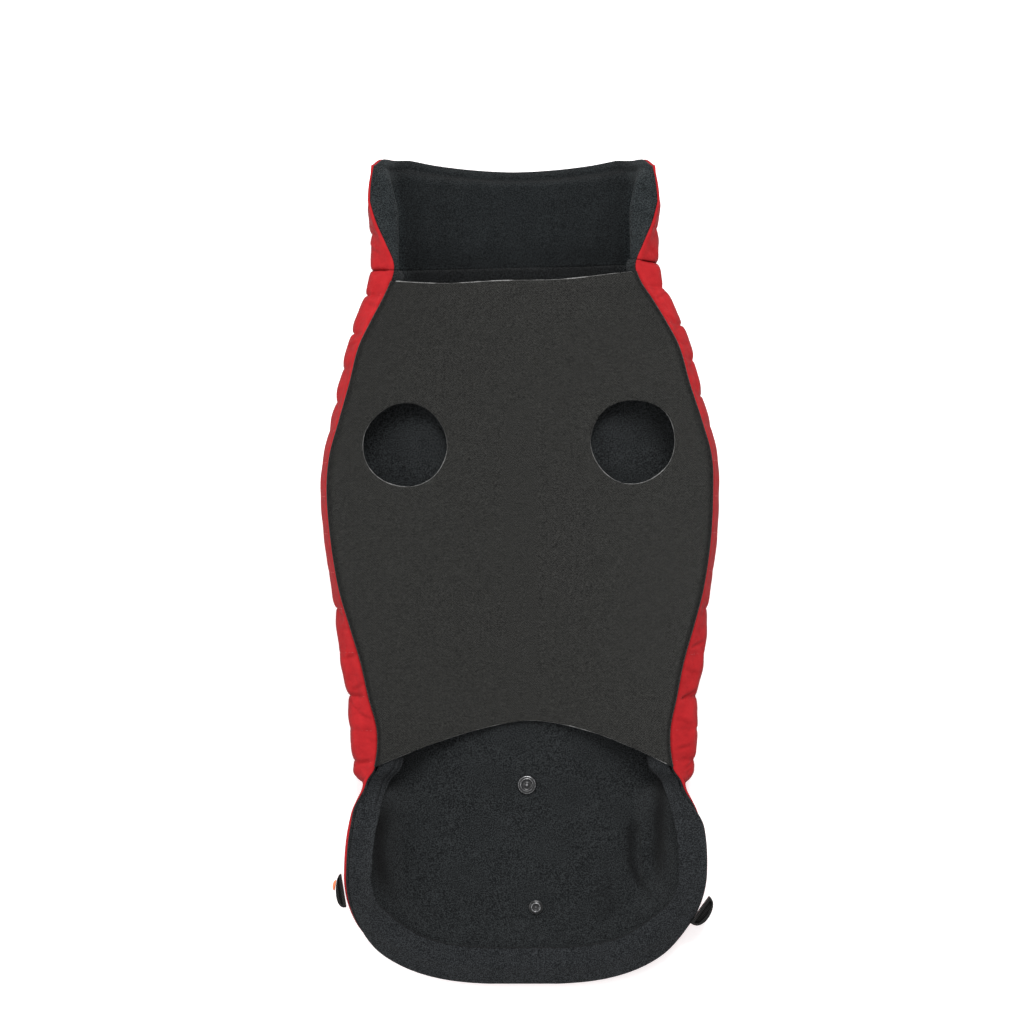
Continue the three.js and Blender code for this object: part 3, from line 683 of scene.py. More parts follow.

# %% [markdown]
# The belly panel is a fine stretch mesh, warmer and a little lighter than the fleece. Where it is cut, its pale
# core shows as a thin light line, partly a painted highlight. Where it is sewn to the rims, it turns down, and
# painted shade darkens its colour there. Its place across the cut, kept on the vertices, tells where that is.


# %% Stretch mesh and its cut edge
# Painted shade: between these shares across the cut, the panel's colour darkens to this tone beside the rims.
RIM_SHADE_FROM, RIM_SHADE_TO, RIM_SHADE_TONE = 0.966, 0.99, (0.48, 0.48, 0.48)


def mesh_look(name, dark, light, bumpy):
    look, tree, shader = new_look(name, 0.9, Specular_IOR_Level=0.12, Sheen_Weight=0.08)
    vector = in_millimetres(tree)
    weave = place_group(tree, WEAVE, vector, Threads=0.62)
    fuzz = grain(tree, vector, 1.7, 2.0, 0.65)
    tone = math_node(tree, "ADD", math_node(tree, "MULTIPLY", weave.outputs["Height"], 0.045), fuzz)
    color = ramp(tree, tone, (0.405, dark), (0.615, light))
    side = math_node(tree, "ABSOLUTE", stored(tree, "across"))
    rim_shade = ramp(tree, side, (RIM_SHADE_FROM, WHITE), (RIM_SHADE_TO, RIM_SHADE_TONE))
    tree.links.new(multiplied(tree, color, rim_shade), shader.inputs["Base Color"])
    first = bump(tree, shader, weave.outputs["Height"], bumpy, 0.25)
    bump(tree, shader, fuzz, bumpy, 0.4, first)
    return look


STRETCH = mesh_look("stretch_mesh", (0.0035, 0.0036, 0.0033), (0.0375, 0.0375, 0.0350), 0.7)
# Pale core of the cut mesh; on the thin lines along the raw edges it is partly a painted highlight.
CUT_EDGE_AND_HIGHLIGHT = mesh_look("cut_edge_and_highlight", (0.10, 0.10, 0.098), (0.30, 0.30, 0.295), 0.4)
print("finish:", STRETCH.name, CUT_EDGE_AND_HIGHLIGHT.name)

# %% [markdown]
# ## The quilted back
# Quilting is padding caught between two cloths by lines of stitches. Between the lines the padding swells, and
# at each line the cloth is drawn in and puckers. The lines run straight across the coat, about an inch apart,
# and lie closer over the rump.

# %% Where the quilting lines cross
STITCH_LINES = np.array(
    [196.4, 180.3, 155.8, 133.2, 111.9, 93.0, 71.0, 48.1, 24.2, 0.3, -22.9, -51.9, -80.9, -102.2, -121.6]
    + [-141.6, -164.2, -186.7, -209.3, -231.9, -250.6, -265.4]
)
COLLAR_LINES = np.array([265.4, 242.4, 219.4, 196.4])
# How far each line draws the side wall in, as a share: some channels swell over their line
PULL = np.array([1, 1, 1, 0.9, 0.8, 0.6, 0.4, 0.3, 0.3, 0.5, 1.05, 0.3, 1.1, 0.5, 0.7, 0.7] + [1] * 6)
# Creases: side, y, place and half length down from the rim, slope, depth
CREASES = [
    (-1, 207, 14, 12, 0.5, 0.7), (-1, 192, 10, 6, -0.4, 0.7), (-1, 171, 8, 10, 0.3, 0.9),
    (-1, 146, 8, 8, -0.3, 0.7), (-1, 127, 8, 7, 0.2, 0.6), (-1, 105, 7, 6, 0.2, 0.5),
    (-1, -27, 8, 8, 0.25, 0.8), (-1, -37, 6, 7, -0.1, 0.5), (-1, -54.5, 7, 9, -0.25, 0.9),
    (-1, -74, 6, 8, -0.35, 0.8), (-1, -86, 14, 6, 0.9, 0.8), (-1, -93, 6, 7, 0.45, 1.0),
    (-1, -108.5, 4, 5, 0.5, 0.7), (-1, -122.5, 9, 9, -0.2, 1.0), (-1, -131.5, 12, 7, 0.4, 0.8),
    (1, 205, 12, 12, -0.6, 0.8), (1, 177, 10, 10, 0.35, 1.1), (1, 163, 6, 7, -0.5, 0.8),
    (1, 156, 7, 7, 0.3, 0.9), (1, 147, 7, 7, -0.15, 1.0), (1, 132, 6, 6, 0.2, 0.8),
    (1, -28, 7, 7, -0.2, 0.7), (1, -47, 8, 9, 0.3, 0.8), (1, -64, 7, 8, -0.3, 0.7),
    (1, -79, 10, 10, 0.5, 1.0), (1, -96, 8, 8, -0.4, 0.8), (1, -113, 9, 9, 0.2, 0.9),
    (1, -126, 10, 8, 0.5, 0.8),
]
# Round the chest the shell is drawn tight, and only a share of the channels' depth and of the puckers is left
TAUT_NECK, TAUT_REAR, TAUT_SHARE, TAUT_PUCKERS = (102.0, 76.0), (-32.0, -8.0), 0.25, 0.35
# In millimetres: the channels' depth below the coat, how far its walls stand out of the sheet on the whole and
# at most, lumps of the padding, puckers and how far they reach from their line, and the lines' sway
FLOOR_DEPTH, WALL_OUT, WALL_OUT_MOST, LUMP, PUCKER, PUCKER_REACH, SWAY = 1.5, 0.4, 1.2, 0.5, 0.15, 5.5, 0.9


def channel(y, lines):
    """Share of the way through a channel, and the distance to the nearest line."""
    i = np.clip(np.searchsorted(-lines, -y, side="right") - 1, 0, len(lines) - 2)
    wide = lines[i] - lines[i + 1]
    t = np.clip((lines[i] - y) / wide, 0, 1)
    return t, np.minimum(t, 1 - t) * wide


def puckers(v, y, near):
    """Short wrinkles that leave a line of stitches at right angles."""
    s = v * CUT_HALF
    waves = sum(np.sin(s * f + 1.7 * k + y * 0.13 * k) for k, f in ((1, 0.58), (2, 0.91), (3, 0.33)))
    return PUCKER * waves * np.exp(-near / PUCKER_REACH)


def crease_depth(v, y):
    """Sharp little folds in the red, where the shell is gathered at its rim."""
    down, total = to_rim(v, y), 0
    for side, y0, middle, half, slope, depth in CREASES:
        away = y - y0 - slope * (down - middle)
        fade = 1 - smooth(0.35, 1, np.abs(down - middle) / half)
        fold = np.exp(-((away / 0.9) ** 2)) - 0.45 * np.exp(-(((away - 2.4) / 1.9) ** 2))
        total = total + depth * fade * fold * (np.sign(v) == side)
    return total


def sway(v, row):
    """No line of stitches is quite straight on the walls."""
    return SWAY * np.sin(v * 4.1 + row * 0.05) * on_wall(v)


def quilted(v, row, y, lines):
    """Distance of the shell's outer face out of the sheet."""
    t, near = channel(row + sway(v, row), lines)
    swell = np.sqrt(np.maximum(0, 4 * t * (1 - t))) ** 0.8
    tight = smooth(*TAUT_NECK, y) * smooth(*TAUT_REAR, y)
    pull = np.interp(row, STITCH_LINES[::-1], PULL[::-1])
    deep = mix(FLOOR_DEPTH, (QUILT_CREST - QUILT_GROOVE) * pull, on_wall(v)) * mix(1, TAUT_SHARE, tight)
    lump = LUMP * np.sin(v * 9 + row * 0.21) * np.sin(v * 23 - row * 0.11) * swell
    loose = mix(1, TAUT_PUCKERS, tight)
    turn_over = 1 - np.sqrt(1 - (1 - np.clip(to_rim(v, y) / RIM_ROUND, 0, 1)) ** 2)
    full = deep * (swell - 1) + WALL_OUT * on_wall(v) + (lump * on_wall(v) + puckers(v, row, near)) * loose
    most = mix(0.0, WALL_OUT_MOST, on_wall(v))
    plain = pinch(v, y) * np.minimum(full, most) - 0.8 * QUILT_RIM * turn_over
    return plain - crease_depth(v, y) * smooth(0, 1.2, to_rim(v, y)) * mix(0.75, 1, pinch(v, y))


print(len(STITCH_LINES) - 1, "channels on the back,", len(COLLAR_LINES) - 1, "on the collar")


# %% Make the quilted back
def tail_rows(last, step):
    """Rows down to the tail, closer together where the hem rounds."""
    straight = np.arange(COLLAR_SEAM - SEAM_GAP / 2, last, -step)
    rounded = mix(last, TAIL_ROW, np.sin(np.linspace(0, math.pi / 2, int(90 / step))))
    return np.r_[straight, rounded[rounded < straight[-1] - 0.2]]


def shell_top(v, row):
    y = tilted(row, v)
    return layer(v, y, quilted(v, row, y, STITCH_LINES))


def shell_bottom(v, row):
    y = tilted(row, v)
    return layer(v, y, shell_inside(v, y))


bm = drape(even_columns(6, 34), tail_rows(-200, 1.1), shell_top, shell_bottom)
back_shell = keep(bm, "quilted_back", [NYLON])
declare(back_shell, "shell_nylon", "back_shell")

# %% [markdown]
# ## The lining of the back
# The fleece lies loosely in the shell. It follows it closely at the seams and has a few soft folds at the tail,
# where nothing holds it down.


# %% Make the lining
LUMP_LINE, LUMP_MIDDLE, LUMP_BEND = 71.3, 193.0, 0.11


def held_in(p, v, y, line, share):
    """Moves places in to a line beside the middle, as far as share says."""
    reach = np.abs(p[..., 0] - middle_at(y))
    held = mix(reach, np.minimum(reach, line), share)
    p[..., 0] = np.where(v == 0, p[..., 0], middle_at(y) + np.sign(v) * held)
    return p


def onto_lump(p, v, row, y):
    """The roll of fleece ends in a lump just behind the neck seam."""
    down = to_rim(v, y)
    bead = smooth(0, 4, down) * (1 - smooth(13, 20, down)) * smooth(184, 189, row)
    return held_in(p, v, y, LUMP_LINE + LUMP_BEND * (row - LUMP_MIDDLE) ** 2, bead)


def lining_top(v, row):
    y = tilted(row, v)
    ripple = 0.25 * np.sin(v * 11 + y * 0.07) + 0.2 * np.sin(v * 5 - y * 0.11)
    return onto_lump(layer(v, y, lining_inside(v, y) - ripple * pinch(v, y)), v, row, y)


def lining_bottom(v, row):
    y = tilted(row, v)
    return layer(v, y, shell_inside(v, y) - SEAM_GAP)


rows = tail_rows(-200, 1.8)
rows[0] = COLLAR_SEAM + SEAM_GAP / 2 - 0.02
bm = drape(even_columns(26, 30), rows, lining_top, lining_bottom)
back_lining = keep(bm, "fleece_lining", [FLEECE])
print(f"{back_lining.name}: {len(rows)} rows")

# %% [markdown]
# Light hardly reaches the pile beside the facing, in two hollows at the right of the tail and behind the neck
# seam. The soft light of a studio fills such places too much, so a short table says where they are, and each
# vertex keeps how dark it lies. The same is done below for the collar and the facing.

# %% Shade in the gaps
# Dark places: x, y, half width, half length, share, and bend ahead and behind
GAPS = (
    (-90.5, -178, 5.5, 36, 1.0, 0.006, 0.006),
    (72.5, -184, 3.2, 30, 0.8, 0.0, 0.018),
    (90.5, -163, 4.2, 40, 0.95, 0.002, 0.0),
    (57, -213, 6, 14, 0.35, 0.0, 0.0),
)
# Under the belly panel's neck edge: share, where it starts, and where it ends beside the middle
NECK_SHADE, NECK_SHADE_FROM, NECK_SHADE_BESIDE = 0.68, (168, 176), (65, 72)


def spots(x, y):
    """How dark the table makes a place seen from above."""
    total = 0
    for x0, y0, wide, high, share, ahead, behind in GAPS:
        bend = np.where(y > y0, ahead, behind) * (y - y0) ** 2
        fade = 1 - smooth(0.4, 1.1, np.abs(y - y0) / high)
        total = total + share * fade * np.exp(-(((x - x0 - bend) / wide) ** 2))
    return total


def shade(piece, darkness):
    """Stores how dark each vertex lies, for the fleece look."""
    x, y = (np.array([vert.co for vert in piece.data.vertices]) / MM)[:, :2].T
    dark = np.clip(darkness(x, y), 0, 1)
    piece.data.attributes.new("gap", "FLOAT", "POINT").data.foreach_set("value", dark)
    print(f"{piece.name}: {np.mean(dark > 0.2):.0%} of it lies in shade")


def back_darkness(x, y):
    beside = np.abs(x - middle_at(y))
    return spots(x, y) + NECK_SHADE * smooth(*NECK_SHADE_FROM, y) * (1 - smooth(*NECK_SHADE_BESIDE, beside))


shade(back_lining, back_darkness)
declare(back_lining, "fleece", "back_lining")

# %% [markdown]
# ## The collar
# A quilted band with the same lining carries on from the neck seam. Its top edge dips at the nape, and there
# shell and lining are turned in and stitched together close below the edge.


# %% Make the quilted shell of the collar
TOP_PINCH = 0.16


def collar_row(share, v):
    """y of a row, which share counts from the neck seam, 0, to the top edge, 1."""
    seam = tilted(COLLAR_SEAM + SEAM_GAP / 2, v)
    dip = COLLAR_DIP * (1 - np.minimum(1, np.abs(v) / DIP_REACH) ** DIP_POWER)
    corner = CORNER_DROP * smooth(CORNER_FROM, 1, np.abs(v)) ** 2
    return mix(seam, NECK_END - dip - corner, share)


def top_pinch(share):
    return smooth(0, TOP_PINCH, 1 - share)


def collar_top(v, share):
    y, height = collar_row(share, v), mix(COLLAR_LINES[-1], COLLAR_LINES[0], share)
    return layer(v, y, quilted(v, height, y, COLLAR_LINES) * top_pinch(share))


def collar_bottom(v, share):
    return layer(v, collar_row(share, v), collar_back(v, share))


def collar_back(v, share):
    return mix(-QUILT_RIM, shell_inside(v, collar_row(share, v)), top_pinch(share))


bm = drape(even_columns(14, 34), np.linspace(1, 0, 56), collar_top, collar_bottom)
collar_shell = keep(bm, "quilted_collar", [NYLON])
declare(collar_shell, "shell_nylon", "collar_shell")

# %% [markdown]
# The fleece inside is fuller than the shell needs. It bulges into a roll along each front edge and stands in a
# few soft folds at the nape. Rolls, folds and the drawn in line of the topstitching all move points of the same
# sheet.


# %% Make the lining of the collar
ROLL_LINE, ROLL_ROUND, ROLL_LONG, ROLL_END, ROLL_FADE, ROLL_SPREAD = 74.2, 5.0, 16.0, 6.0, 0.2, 5.2
COLLAR_LOFT, TOPSTITCH, TOPSTITCH_DEEP = 0.9, 4.6, 1.3
NAPE_SHADE, SEAM_SHADE, TOPSTITCH_SHADE = 0.57, 0.13, 0.3
# Across the collar: place, width, height
COLLAR_FOLDS = ((-0.47, 0.05, 2.4), (-0.3, 0.05, 1.9), (-0.12, 0.06, 1.6), (0.2, 0.06, 1.4), (0.43, 0.05, 2.0))


def roll_line(share):
    """The rolls lie further apart towards the top."""
    return ROLL_LINE + ROLL_SPREAD * smooth(0.45, 1, share)


def onto_roll(p, v, share, y):
    """Moves places on the lining onto the roll of fleece inside each front edge."""
    down = to_rim(v, y)
    bead = smooth(0, ROLL_ROUND, down) * (1 - smooth(ROLL_LONG, ROLL_LONG + ROLL_END, down))
    return held_in(p, v, y, roll_line(share), bead * smooth(0, ROLL_FADE, 1 - share))


def collar_folds(v, share):
    """Soft upright folds of the lining."""
    folds = sum(h * np.exp(-(((v - at) / wide) ** 2)) for at, wide, h in COLLAR_FOLDS)
    return folds * smooth(0, 0.3, share) * smooth(0, 0.3, 1 - share)


def over_edge(v, share):
    """The fleece reaches a little over the shell at the top edge, most near the corners."""
    side = np.abs(v)
    reach = (0.9 + 0.5 * smooth(0.45, 0.65, side)) * (1 - smooth(0.8, 0.985, side))
    return collar_row(share, v) + reach * smooth(0.9, 1, share)


def collar_lining_top(v, share):
    y = over_edge(v, share)
    closed = top_pinch(share) * pinch(v, y)
    below = collar_row(np.ones_like(share), v) - y
    seam = TOPSTITCH_DEEP * np.exp(-(((below - TOPSTITCH) / 0.9) ** 2)) * smooth(0, 8, to_rim(v, y))
    loft = COLLAR_LOFT * smooth(0, 0.03, 1 - share) * smooth(0, 0.2, share) * pinch(v, y)
    thick = mix(FLEECE_RIM, FLEECE_BODY, closed) + loft + collar_folds(v, share) * closed - seam
    return onto_roll(layer(v, y, collar_back(v, share) - SEAM_GAP - thick), v, share, y)


def collar_lining_bottom(v, share):
    return layer(v, over_edge(v, share), collar_back(v, share) - SEAM_GAP)


bm = drape(even_columns(30, 44), np.linspace(1, 0, 60), collar_lining_top, collar_lining_bottom)
collar_lining = keep(bm, "collar_fleece", [COLLAR_FLEECE_LIT])


def collar_darkness(x, y):
    """The nape lies in the shade of the rolls, most at the neck seam. The topstitched line is dark too."""
    v = (x - middle_at(y)) / ROLL_LINE * BASE_SHARE
    top, seam = collar_row(np.ones_like(x), v), collar_row(np.zeros_like(x), v)
    share = np.clip((y - seam) / (top - seam), 0, 1)
    nape = 1 - smooth(-6, 2, np.abs(x - middle_at(y)) - roll_line(share))
    line = np.exp(-(((top - y - TOPSTITCH - 0.9) / 1.1) ** 2))
    return nape * (NAPE_SHADE + SEAM_SHADE * (1 - smooth(0, 26, y - seam)) + TOPSTITCH_SHADE * line)


shade(collar_lining, collar_darkness)
declare(collar_lining, "fleece", "collar_lining")

# %% [markdown]
# ## The belly panel
# One piece of stretch mesh is sewn between the two raised rims. It hangs from them and lies on the lining in
# the middle. So each row of the panel starts at one rim, sags to its middle and climbs to the other rim.

# %% Make the belly panel
BELLY_NECK_HEIGHT, BELLY_CHEST_HEIGHT = 12.0, 8.6
BELLY_EDGE = 0.975
END_FACE = QUILT_RIM + SEAM_GAP + FLEECE_RIM + SEAM_GAP


def belly_row(row, v):
    """Rows follow the wavy neck edge, and towards the rear the arch."""
    share = (BELLY_NECK - row) / (BELLY_NECK - BELLY_REAR)
    wave = (-1.4 - 0.5 * np.sin(6.3 * v - 0.8)) * (1 - v**4)
    bow = np.maximum(0, 1 - np.abs(v - 0.06 * (1 - v * v)) ** 1.6)
    return tilted(row, v) + wave * (1 - share) ** 2 + REAR_ARCH * bow * share**2


def rim(side, y):
    """Places on a rim, and the directions into the coat and up along the cloth."""
    p = sheet(side, y)
    up = p - sheet(side * 0.985, y)
    return p, -outward(side, y), up / np.linalg.norm(up, axis=-1, keepdims=True)


def belly(v, row, thick=STRETCH_THICK):
    """Places on the panel's upper face, or on its lower one with no thickness."""
    y = belly_row(row, v)
    share = (BELLY_NECK - row) / (BELLY_NECK - BELLY_REAR)
    side = np.where(v < 0, -1.0, 1.0)
    p, inwards, up = rim(side, y)
    rise = up * (EDGE_GAP + thick)
    outer_edge = p + rise
    edge = p + inwards * END_FACE + rise
    far, far_inwards, far_up = rim(-side, y)
    far = far + far_inwards * END_FACE + far_up * (EDGE_GAP + thick)
    middle = mix(BELLY_NECK_HEIGHT, BELLY_CHEST_HEIGHT, smooth(0, 0.3, share)) + thick
    t = np.minimum(1, np.abs(v) / BELLY_EDGE)
    x = mix((edge[..., 0] + far[..., 0]) / 2, edge[..., 0], t)
    hung = np.stack([x, y, mix(middle, edge[..., 2], t**2.1)], axis=-1)
    beyond = (np.clip((np.abs(v) - BELLY_EDGE) / (1 - BELLY_EDGE), 0, 1))[..., None]
    return np.where(np.abs(v)[..., None] <= BELLY_EDGE, hung, mix(edge, outer_edge, beyond))


inner = np.linspace(-BELLY_EDGE, BELLY_EDGE, 111)
rows = np.r_[BELLY_NECK, np.linspace(BELLY_NECK - 0.5, BELLY_REAR + 0.5, 150), BELLY_REAR]
bm = drape(np.r_[-1, inner, 1], rows, belly, lambda v, row: belly(v, row, 0.0), width=115.0)
belly_panel = keep(bm, "belly_panel_mesh", [STRETCH, CUT_EDGE_AND_HIGHLIGHT])
print(f"{belly_panel.name}: {len(rows)} rows")

# %% [markdown]
# The leg holes are cut out by hand, nearly round. Here a boolean takes them out of the finished panel, with a
# cutter of the same outline. It leaves its own finish, the pale one, on the edge that it cuts.

# %% Cut the leg holes
LEG_HOLE_RADIUS = 27.0
# Middle, then the direction and share by which the hand cut edge is flat, and by which it bulges
LEG_HOLES = ((-73.9, 81.6, 2.4, 0.05, 5.6, 0.02), (72.6, 83.5, 3.6, 0.03, 0.7, 0.045))


def hole_radius(angle, hole):
    flat, flat_share, bulge, bulge_share = hole[2:]
    near_flat = np.exp(-((np.sin((angle - flat) / 2) / 0.22) ** 2))
    near_bulge = np.exp(-((np.sin((angle - bulge) / 2) / 0.25) ** 2))
    wobble = 0.006 * np.sin(5 * angle + hole[0])
    return LEG_HOLE_RADIUS * (1 - flat_share * near_flat + bulge_share * near_bulge + wobble)


def cut_round(piece, hole):
    cutter_bm = bmesh.new()
    bmesh.ops.create_cone(cutter_bm, cap_ends=True, segments=96, radius1=1, radius2=1, depth=0.12)
    for vert in cutter_bm.verts:
        radius = hole_radius(math.atan2(vert.co.y, vert.co.x), hole) * MM
        vert.co.x, vert.co.y = vert.co.x * radius, vert.co.y * radius
    bmesh.ops.translate(cutter_bm, verts=cutter_bm.verts[:], vec=(hole[0] * MM, hole[1] * MM, 0.02))
    cutter = keep(cutter_bm, "cutter", [CUT_EDGE_AND_HIGHLIGHT])
    cut = piece.modifiers.new("leg_hole", "BOOLEAN")
    cut.operation, cut.object, cut.solver, cut.material_mode = "DIFFERENCE", cutter, "EXACT", "TRANSFER"
    with bpy.context.temp_override(object=piece, active_object=piece):
        bpy.ops.object.modifier_apply(modifier=cut.name)
    bpy.data.objects.remove(cutter)


for hole in LEG_HOLES:
    cut_round(belly_panel, hole)
declare(belly_panel, "stretch_mesh", "belly_panel")

# %% [markdown]
# The mesh is cut raw, without a hem, so its pale core and a few loose ends show as a thin light line. It runs
# along the neck edge, the arch at the rear and round the leg holes, and is nowhere quite even. The line is
# partly a
# painted highlight: it is thickest on the neck edge and leaves out the tops of the leg holes, where the cut
# faces away from the light. A flat strip of faces is bent into a thin tube for each of them.


# %% Pale lines of the raw edges
def tube(bm, points, radii):
    """A thin tube along points, in millimetres."""
    made = bmesh.ops.create_grid(bm, x_segments=6, y_segments=len(points) - 1, size=0.5)
    ahead = np.gradient(points, axis=0)
    ahead /= np.linalg.norm(ahead, axis=1, keepdims=True)
    side = np.cross(ahead, (0, 0, 1.0))
    side /= np.linalg.norm(side, axis=1, keepdims=True)
    above = np.cross(side, ahead)
    for vert in made["verts"]:
        i = round((vert.co.y + 0.5) * (len(points) - 1))
        angle = (vert.co.x + 0.5) * 2 * math.pi
        around = math.cos(angle) * side[i] + math.sin(angle) * above[i]
        vert.co = Vector((points[i] + radii[i] * around) * MM)


def uneven(count, seed):
    """A line's thickness at each of its points, as a share."""
    at = np.linspace(0, 1, count)
    wave = 0.5 + 0.22 * np.sin(17 * at + seed) + 0.18 * np.sin(41 * at + 2 * seed) + 0.1 * np.sin(97 * at)
    return np.clip(wave, 0.15, 1)


EDGE_POINTS, EDGE_SUNK, NECK_EDGE, REAR_EDGE = 260, 0.25, 0.50, 0.34
# Painted highlight: the line round each leg hole runs only between these angles, on the lower sides that face
# the light.
HOLE_POINTS, HOLE_SUNK, HOLE_EDGE, HOLE_LIT_FROM, HOLE_LIT_TO = 150, 0.3, 0.36, 150, 400


def panel_edge(row):
    return belly(edge_v, np.full(EDGE_POINTS, row)) - (0, 0, EDGE_SUNK)


def hole_edge(hole):
    """Line along a leg hole. Its height is measured on the panel, a millimetre outside the cut."""
    turn = np.linspace(math.radians(HOLE_LIT_FROM), math.radians(HOLE_LIT_TO), HOLE_POINTS)
    radius = hole_radius(turn, hole) - 0.1
    round_hole = np.c_[np.cos(turn), np.sin(turn)]
    at, beside = hole[:2] + radius[:, None] * round_hole, hole[:2] + (radius[:, None] + 1.0) * round_hole
    heights = [belly_panel.ray_cast((x * MM, y * MM, 0.1), (0, 0, -1))[1].z / MM for x, y in beside]
    return np.c_[at, np.array(heights) - HOLE_SUNK]


edge_v = np.linspace(-0.968, 0.968, EDGE_POINTS)
bm = bmesh.new()
thinner_right, thinner_left = mix(1, 0.8, smooth(-0.2, 0.9, edge_v)), mix(0.7, 1, smooth(-0.5, 0.3, edge_v))
tube(bm, panel_edge(BELLY_NECK), NECK_EDGE * uneven(EDGE_POINTS, 1.0) * thinner_right)
tube(bm, panel_edge(BELLY_REAR), REAR_EDGE * uneven(EDGE_POINTS, 2.3) * thinner_left)
for hole in LEG_HOLES:
    ends = np.sin(np.linspace(0, math.pi, HOLE_POINTS)) ** 0.5
    tube(bm, hole_edge(hole), np.maximum(0.05, HOLE_EDGE * uneven(HOLE_POINTS, hole[0]) * ends))
bmesh.ops.remove_doubles(bm, verts=bm.verts[:], dist=1e-6)
declare(keep(bm, "raw_edges_and_highlights", [CUT_EDGE_AND_HIGHLIGHT]), "stretch_mesh")

# %% [markdown]
# ## The hem facing
# A band of the same fleece finishes the hem inside. It is sewn only at the edge, so its inner side stands off
# the lining a little.

# %% Line along which the facing is sewn
FACING_FROM, FACING_START, FACING_INSET, FACING_OPENING = -119.0, -137.0, 1.0, 32.0
FACING_LOOSE = 0.9
# Width and lift of the band: the left side stands off the lining, the right one lies closer and is narrower
FACING_LEFT, FACING_RIGHT, FACING_TAIL = np.array([(12.2, 9.0), (10.6, 2.2), (19.5, 2.4)])
TAIL_WIDE_FROM, TAIL_WIDE_TO, TAIL_LIFT_FROM, TAIL_LIFT_TO = HEM_WIDEST, -250.0, -205.0, -245.0


def cut_of(x, y):
    """The value of v at a place seen from above, in the tray."""
    share = np.clip(np.abs(x) / hem_half_width(y), 0, 1)
    wall = mix(BASE_SHARE, 1, (share - HEM_FLAT) / (1 - HEM_FLAT))
    return np.sign(x) * np.where(share <= HEM_FLAT, share / HEM_FLAT * BASE_SHARE, wall)


side_ys = np.linspace(FACING_FROM, HEM_WIDEST, 78)
tail_ys = mix(HEM_WIDEST, TAIL_ROW, np.sin(np.linspace(0, math.pi / 2, 91)[1:-1]) ** 1.15)
half_ys = np.r_[side_ys, tail_ys]
half_line = np.c_[hem_half_width(half_ys), half_ys]
middle_xs = np.linspace(half_line[-1, 0], -half_line[-1, 0], 11)[1:-1]
FACING_LINE = np.vstack([half_line, np.c_[middle_xs, np.full(9, TAIL_ROW)], half_line[::-1] * (-1, 1)])
before, after = np.roll(FACING_LINE, 1, axis=0), np.roll(FACING_LINE, -1, axis=0)
before[0], after[-1] = FACING_LINE[0], FACING_LINE[-1]
normals = np.c_[after[:, 1] - before[:, 1], before[:, 0] - after[:, 0]]
FACING_INWARDS = normals / np.linalg.norm(normals, axis=1, keepdims=True)
print(len(FACING_LINE), "stations round the hem")

# %% [markdown]
# Two shapes run into each other along the band. Beside the belly panel it is a narrow shelf below the rim. From
# there it lies on the lining, with its inner side lifted.

# %% The band below the rim and on the lining
SHELF = {"in": 3.2, "below": 3.4, "drop": 10.0, "from": -128.0, "to": -152.0}


def facing_lying(p, t, outside):
    """The band as a shelf below the rim, and further back as it lies on the lining."""
    x, y = FACING_LINE[p].T
    opening = smooth(FACING_START, FACING_START - FACING_OPENING, y)
    left = smooth(20, -20, x)
    side_width, side_lift = (mix(a, b, left) for a, b in zip(FACING_RIGHT, FACING_LEFT))
    width = mix(side_width, FACING_TAIL[0], smooth(TAIL_WIDE_FROM, TAIL_WIDE_TO, y))
    standing = mix(side_lift, FACING_TAIL[1], smooth(TAIL_LIFT_FROM, TAIL_LIFT_TO, y))
    at = FACING_LINE[p] + FACING_INWARDS[p] * (FACING_INSET + width * t)[:, None]
    y_at = np.maximum(TAIL_ROW, at[:, 1])
    v = cut_of(at[:, 0], y_at)
    under = lining_inside(v, y_at) + fold_height(v, y_at) * pinch(v, y_at) - EDGE_GAP
    ends = np.clip(np.maximum((t - 0.9) / 0.1, (0.1 - t) / 0.1), 0, 1)
    flat_edge = FACING_THICK * (0.15 + 0.85 * np.sqrt(1 - ends**2))
    lying = layer(v, y_at, under - FACING_LOOSE * smooth(0, 0.3, t) * opening - outside * flat_edge)
    lying[:, 2] += standing * t**1.8 * opening
    side = np.where(x < 0, -1.0, 1.0)
    shelf = sheet(side, y)
    shelf[:, 0] -= side * (SHELF["in"] + width * 1.25 * t)
    shelf[:, 2] -= SHELF["below"] + SHELF["drop"] * t**1.5 + (1 - outside) * flat_edge
    return mix(shelf, lying, smooth(SHELF["from"], SHELF["to"], y)[:, None])


print(f"the band is {FACING_RIGHT[0]:.1f} to {FACING_TAIL[0]:.1f} mm wide")

# %% [markdown]
# On the right and round the tail the band's outer side is rolled over the hem, so that no red shows there. The
# roll is part of a circle round the hem's edge. Where the band bends sharply at its left end, it creases.

# %% Make the hem facing
ROLL_SHARE = 0.2  # of the band's width, where it is rolled over the hem
ROLLED_RIGHT, ROLLED_LEFT = (-138, -166), (-215, -246)  # y where the roll starts and is full
ROLL_RADIUS, ROLL_THICK, ROLL_MIDDLE, ROLL_FROM, ROLL_TO = 1.7, 0.5, 1.6, -30, 150
CREASE_DEEP, CREASE_WIDE = 1.1, 0.045
BAND_CREASES = ((0.66, -124, -152), (0.86, -123, -144))  # place across, and y of both ends


